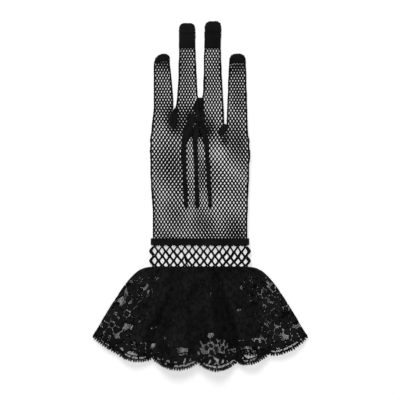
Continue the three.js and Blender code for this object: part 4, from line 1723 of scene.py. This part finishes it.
@dataclass
class TipLoops:
    """The knitted loops that stand out round the upper part of a fingertip.

    They stand a pitch apart, with their middles inset from the edge. The lower part of a tip
    is bare, as a share of its length.
    """

    pitch: float = 1.35
    radius: float = 0.6
    inset: float = 0.45
    bare: float = 0.4

    def outline(self, node: str) -> np.ndarray:
        """Walks round a node in plan, on its own widest points.

        Args:
            node: the node, whose outline bends out all round.

        Returns:
            The outline's points, evenly spaced, without those of the bare lower part.
        """
        points = np.array([v.co[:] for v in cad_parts[node].data.vertices]) / MM
        middle = (points.max(0) + points.min(0)) / 2
        off = points[:, :2] - middle[:2]
        angles = np.linspace(-math.pi, math.pi, 240)
        ways = np.stack([np.cos(angles), np.sin(angles)], -1)
        corner = off[np.argmax(off @ ways.T, axis=0)]
        corner -= self.inset * corner / np.linalg.norm(corner, axis=1, keepdims=True)
        path = np.column_stack([corner + middle[:2], np.full(len(angles), middle[2])])
        path = path[np.concatenate([[True], np.linalg.norm(np.diff(path, axis=0), axis=1) > 1e-6])]
        length = np.concatenate([[0], np.cumsum(np.linalg.norm(np.diff(path, axis=0), axis=1))])
        even = np.linspace(0, length[-1], round(length[-1] / self.pitch), endpoint=False)
        places = np.column_stack([np.interp(even, length, path[:, i]) for i in range(3)])
        low, high = points[:, 1].min(), points[:, 1].max()
        return places[places[:, 1] > low + self.bare * (high - low)]

    def build(self, yarn: bpy.types.Material) -> None:
        """Sets the loops round every tip."""
        draw = np.random.default_rng(SEED + 3)
        ball, quads = round_knot(8, 6)
        points, faces = [], []
        for node in CAP_NODES:
            for place in self.outline(node):
                size = self.radius * draw.uniform(0.85, 1.15)
                shift = draw.uniform(-0.12, 0.12, 3)
                faces.append(quads + len(points) * len(ball))
                points.append(ball * size + place + shift - [0, WRIST_Y, 0])
        loops = np.concatenate(points), [np.concatenate(faces)]
        make_piece("tip_loops", loops, yarn)


@dataclass
class Studio:
    """The pale floor, the soft lights and the camera of the photograph's view."""

    image: float = 340.0
    middle_y: float = 39.1
    distance: float = 1900.0
    sensor: float = 36.0
    floor_size: float = 4.0
    floor_glow: float = 0.62
    sky: float = 0.12

    def build(self) -> None:
        """Builds the floor, the lights and the camera."""
        scene = bpy.context.scene
        scene.view_settings.view_transform = "Standard"
        world = bpy.data.worlds.new("soft_studio")
        scene.world = world
        world.use_nodes = True
        sky = world.node_tree.nodes["Background"]
        sky.inputs["Color"].default_value = linear("#ffffff")
        sky.inputs["Strength"].default_value = self.sky
        self.floor()
        self.lamp("key", (-0.15, 0.5, 1.35), 0.5, 7.5)
        self.lamp("fill", (0.5, -0.5, 1.6), 1.4, 1.0)
        self.camera()

    def floor(self) -> None:
        """Lays the floor under the glove."""
        bpy.ops.object.select_all(action="DESELECT")
        bpy.ops.mesh.primitive_plane_add(size=self.floor_size, location=(0, 0, -0.0002))
        plane = bpy.context.object
        plane.name = "floor"
        bpy.ops.object.transform_apply(location=True)
        paper = bpy.data.materials.new("white_paper")
        paper.use_nodes = True
        shader = paper.node_tree.nodes["Principled BSDF"]
        shader.inputs["Base Color"].default_value = linear("#f6f6f6")
        shader.inputs["Roughness"].default_value = 0.9
        shader.inputs["Specular IOR Level"].default_value = 0.1
        # The paper lies on a light table, which fills the shadows.
        shader.inputs["Emission Color"].default_value = linear("#ffffff")
        shader.inputs["Emission Strength"].default_value = self.floor_glow
        plane.data.materials.append(paper)

    def lamp(self, name: str, place: tuple[float, float, float], size: float, power: float) -> None:
        """Adds a soft lamp that looks at the glove.

        Args:
            name: its name.
            place: where it stands, in metres.
            size: its width in metres.
            power: its power in watts.
        """
        light = bpy.data.lights.new(name, "AREA")
        light.shape = "DISK"
        light.size = size
        light.energy = power
        made = bpy.data.objects.new(name, light)
        made.location = place
        made.rotation_euler = (-Vector(place)).to_track_quat("-Z", "Y").to_euler()
        bpy.context.scene.collection.objects.link(made)

    def camera(self) -> None:
        """Puts the camera straight above the glove, with a long lens."""
        data = bpy.data.cameras.new("camera")
        data.sensor_width = self.sensor
        data.lens = self.sensor * self.distance / self.image
        made = bpy.data.objects.new("camera", data)
        made.location = (0.0, (self.middle_y + WRIST_Y) * MM, self.distance * MM)
        bpy.context.scene.collection.objects.link(made)
        bpy.context.scene.camera = made


def main() -> None:
    """Builds the glove's looks piece by piece, then the studio."""
    logging.basicConfig(level=logging.INFO, format="%(message)s")
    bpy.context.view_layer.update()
    FishnetHand(Probe()).build(FISHNET_YARN.material())
    knit, open_net = KNIT_YARN.material(), OpenNet()
    CloseKnit(knit).build(open_net.mesh.width)
    TipLoops().build(knit)
    open_net.build(CORD_YARN.material())
    # The lace ground's dark colour is partly painted shade between the petals, and the flowers' lighter
    # colour is partly a painted highlight.
    LaceRuffle().build(LACE_YARN_AND_SHADE.material(), FLOWER_YARN_AND_HIGHLIGHT.material())
    Studio().build()


if __name__ == "__main__":
    main()
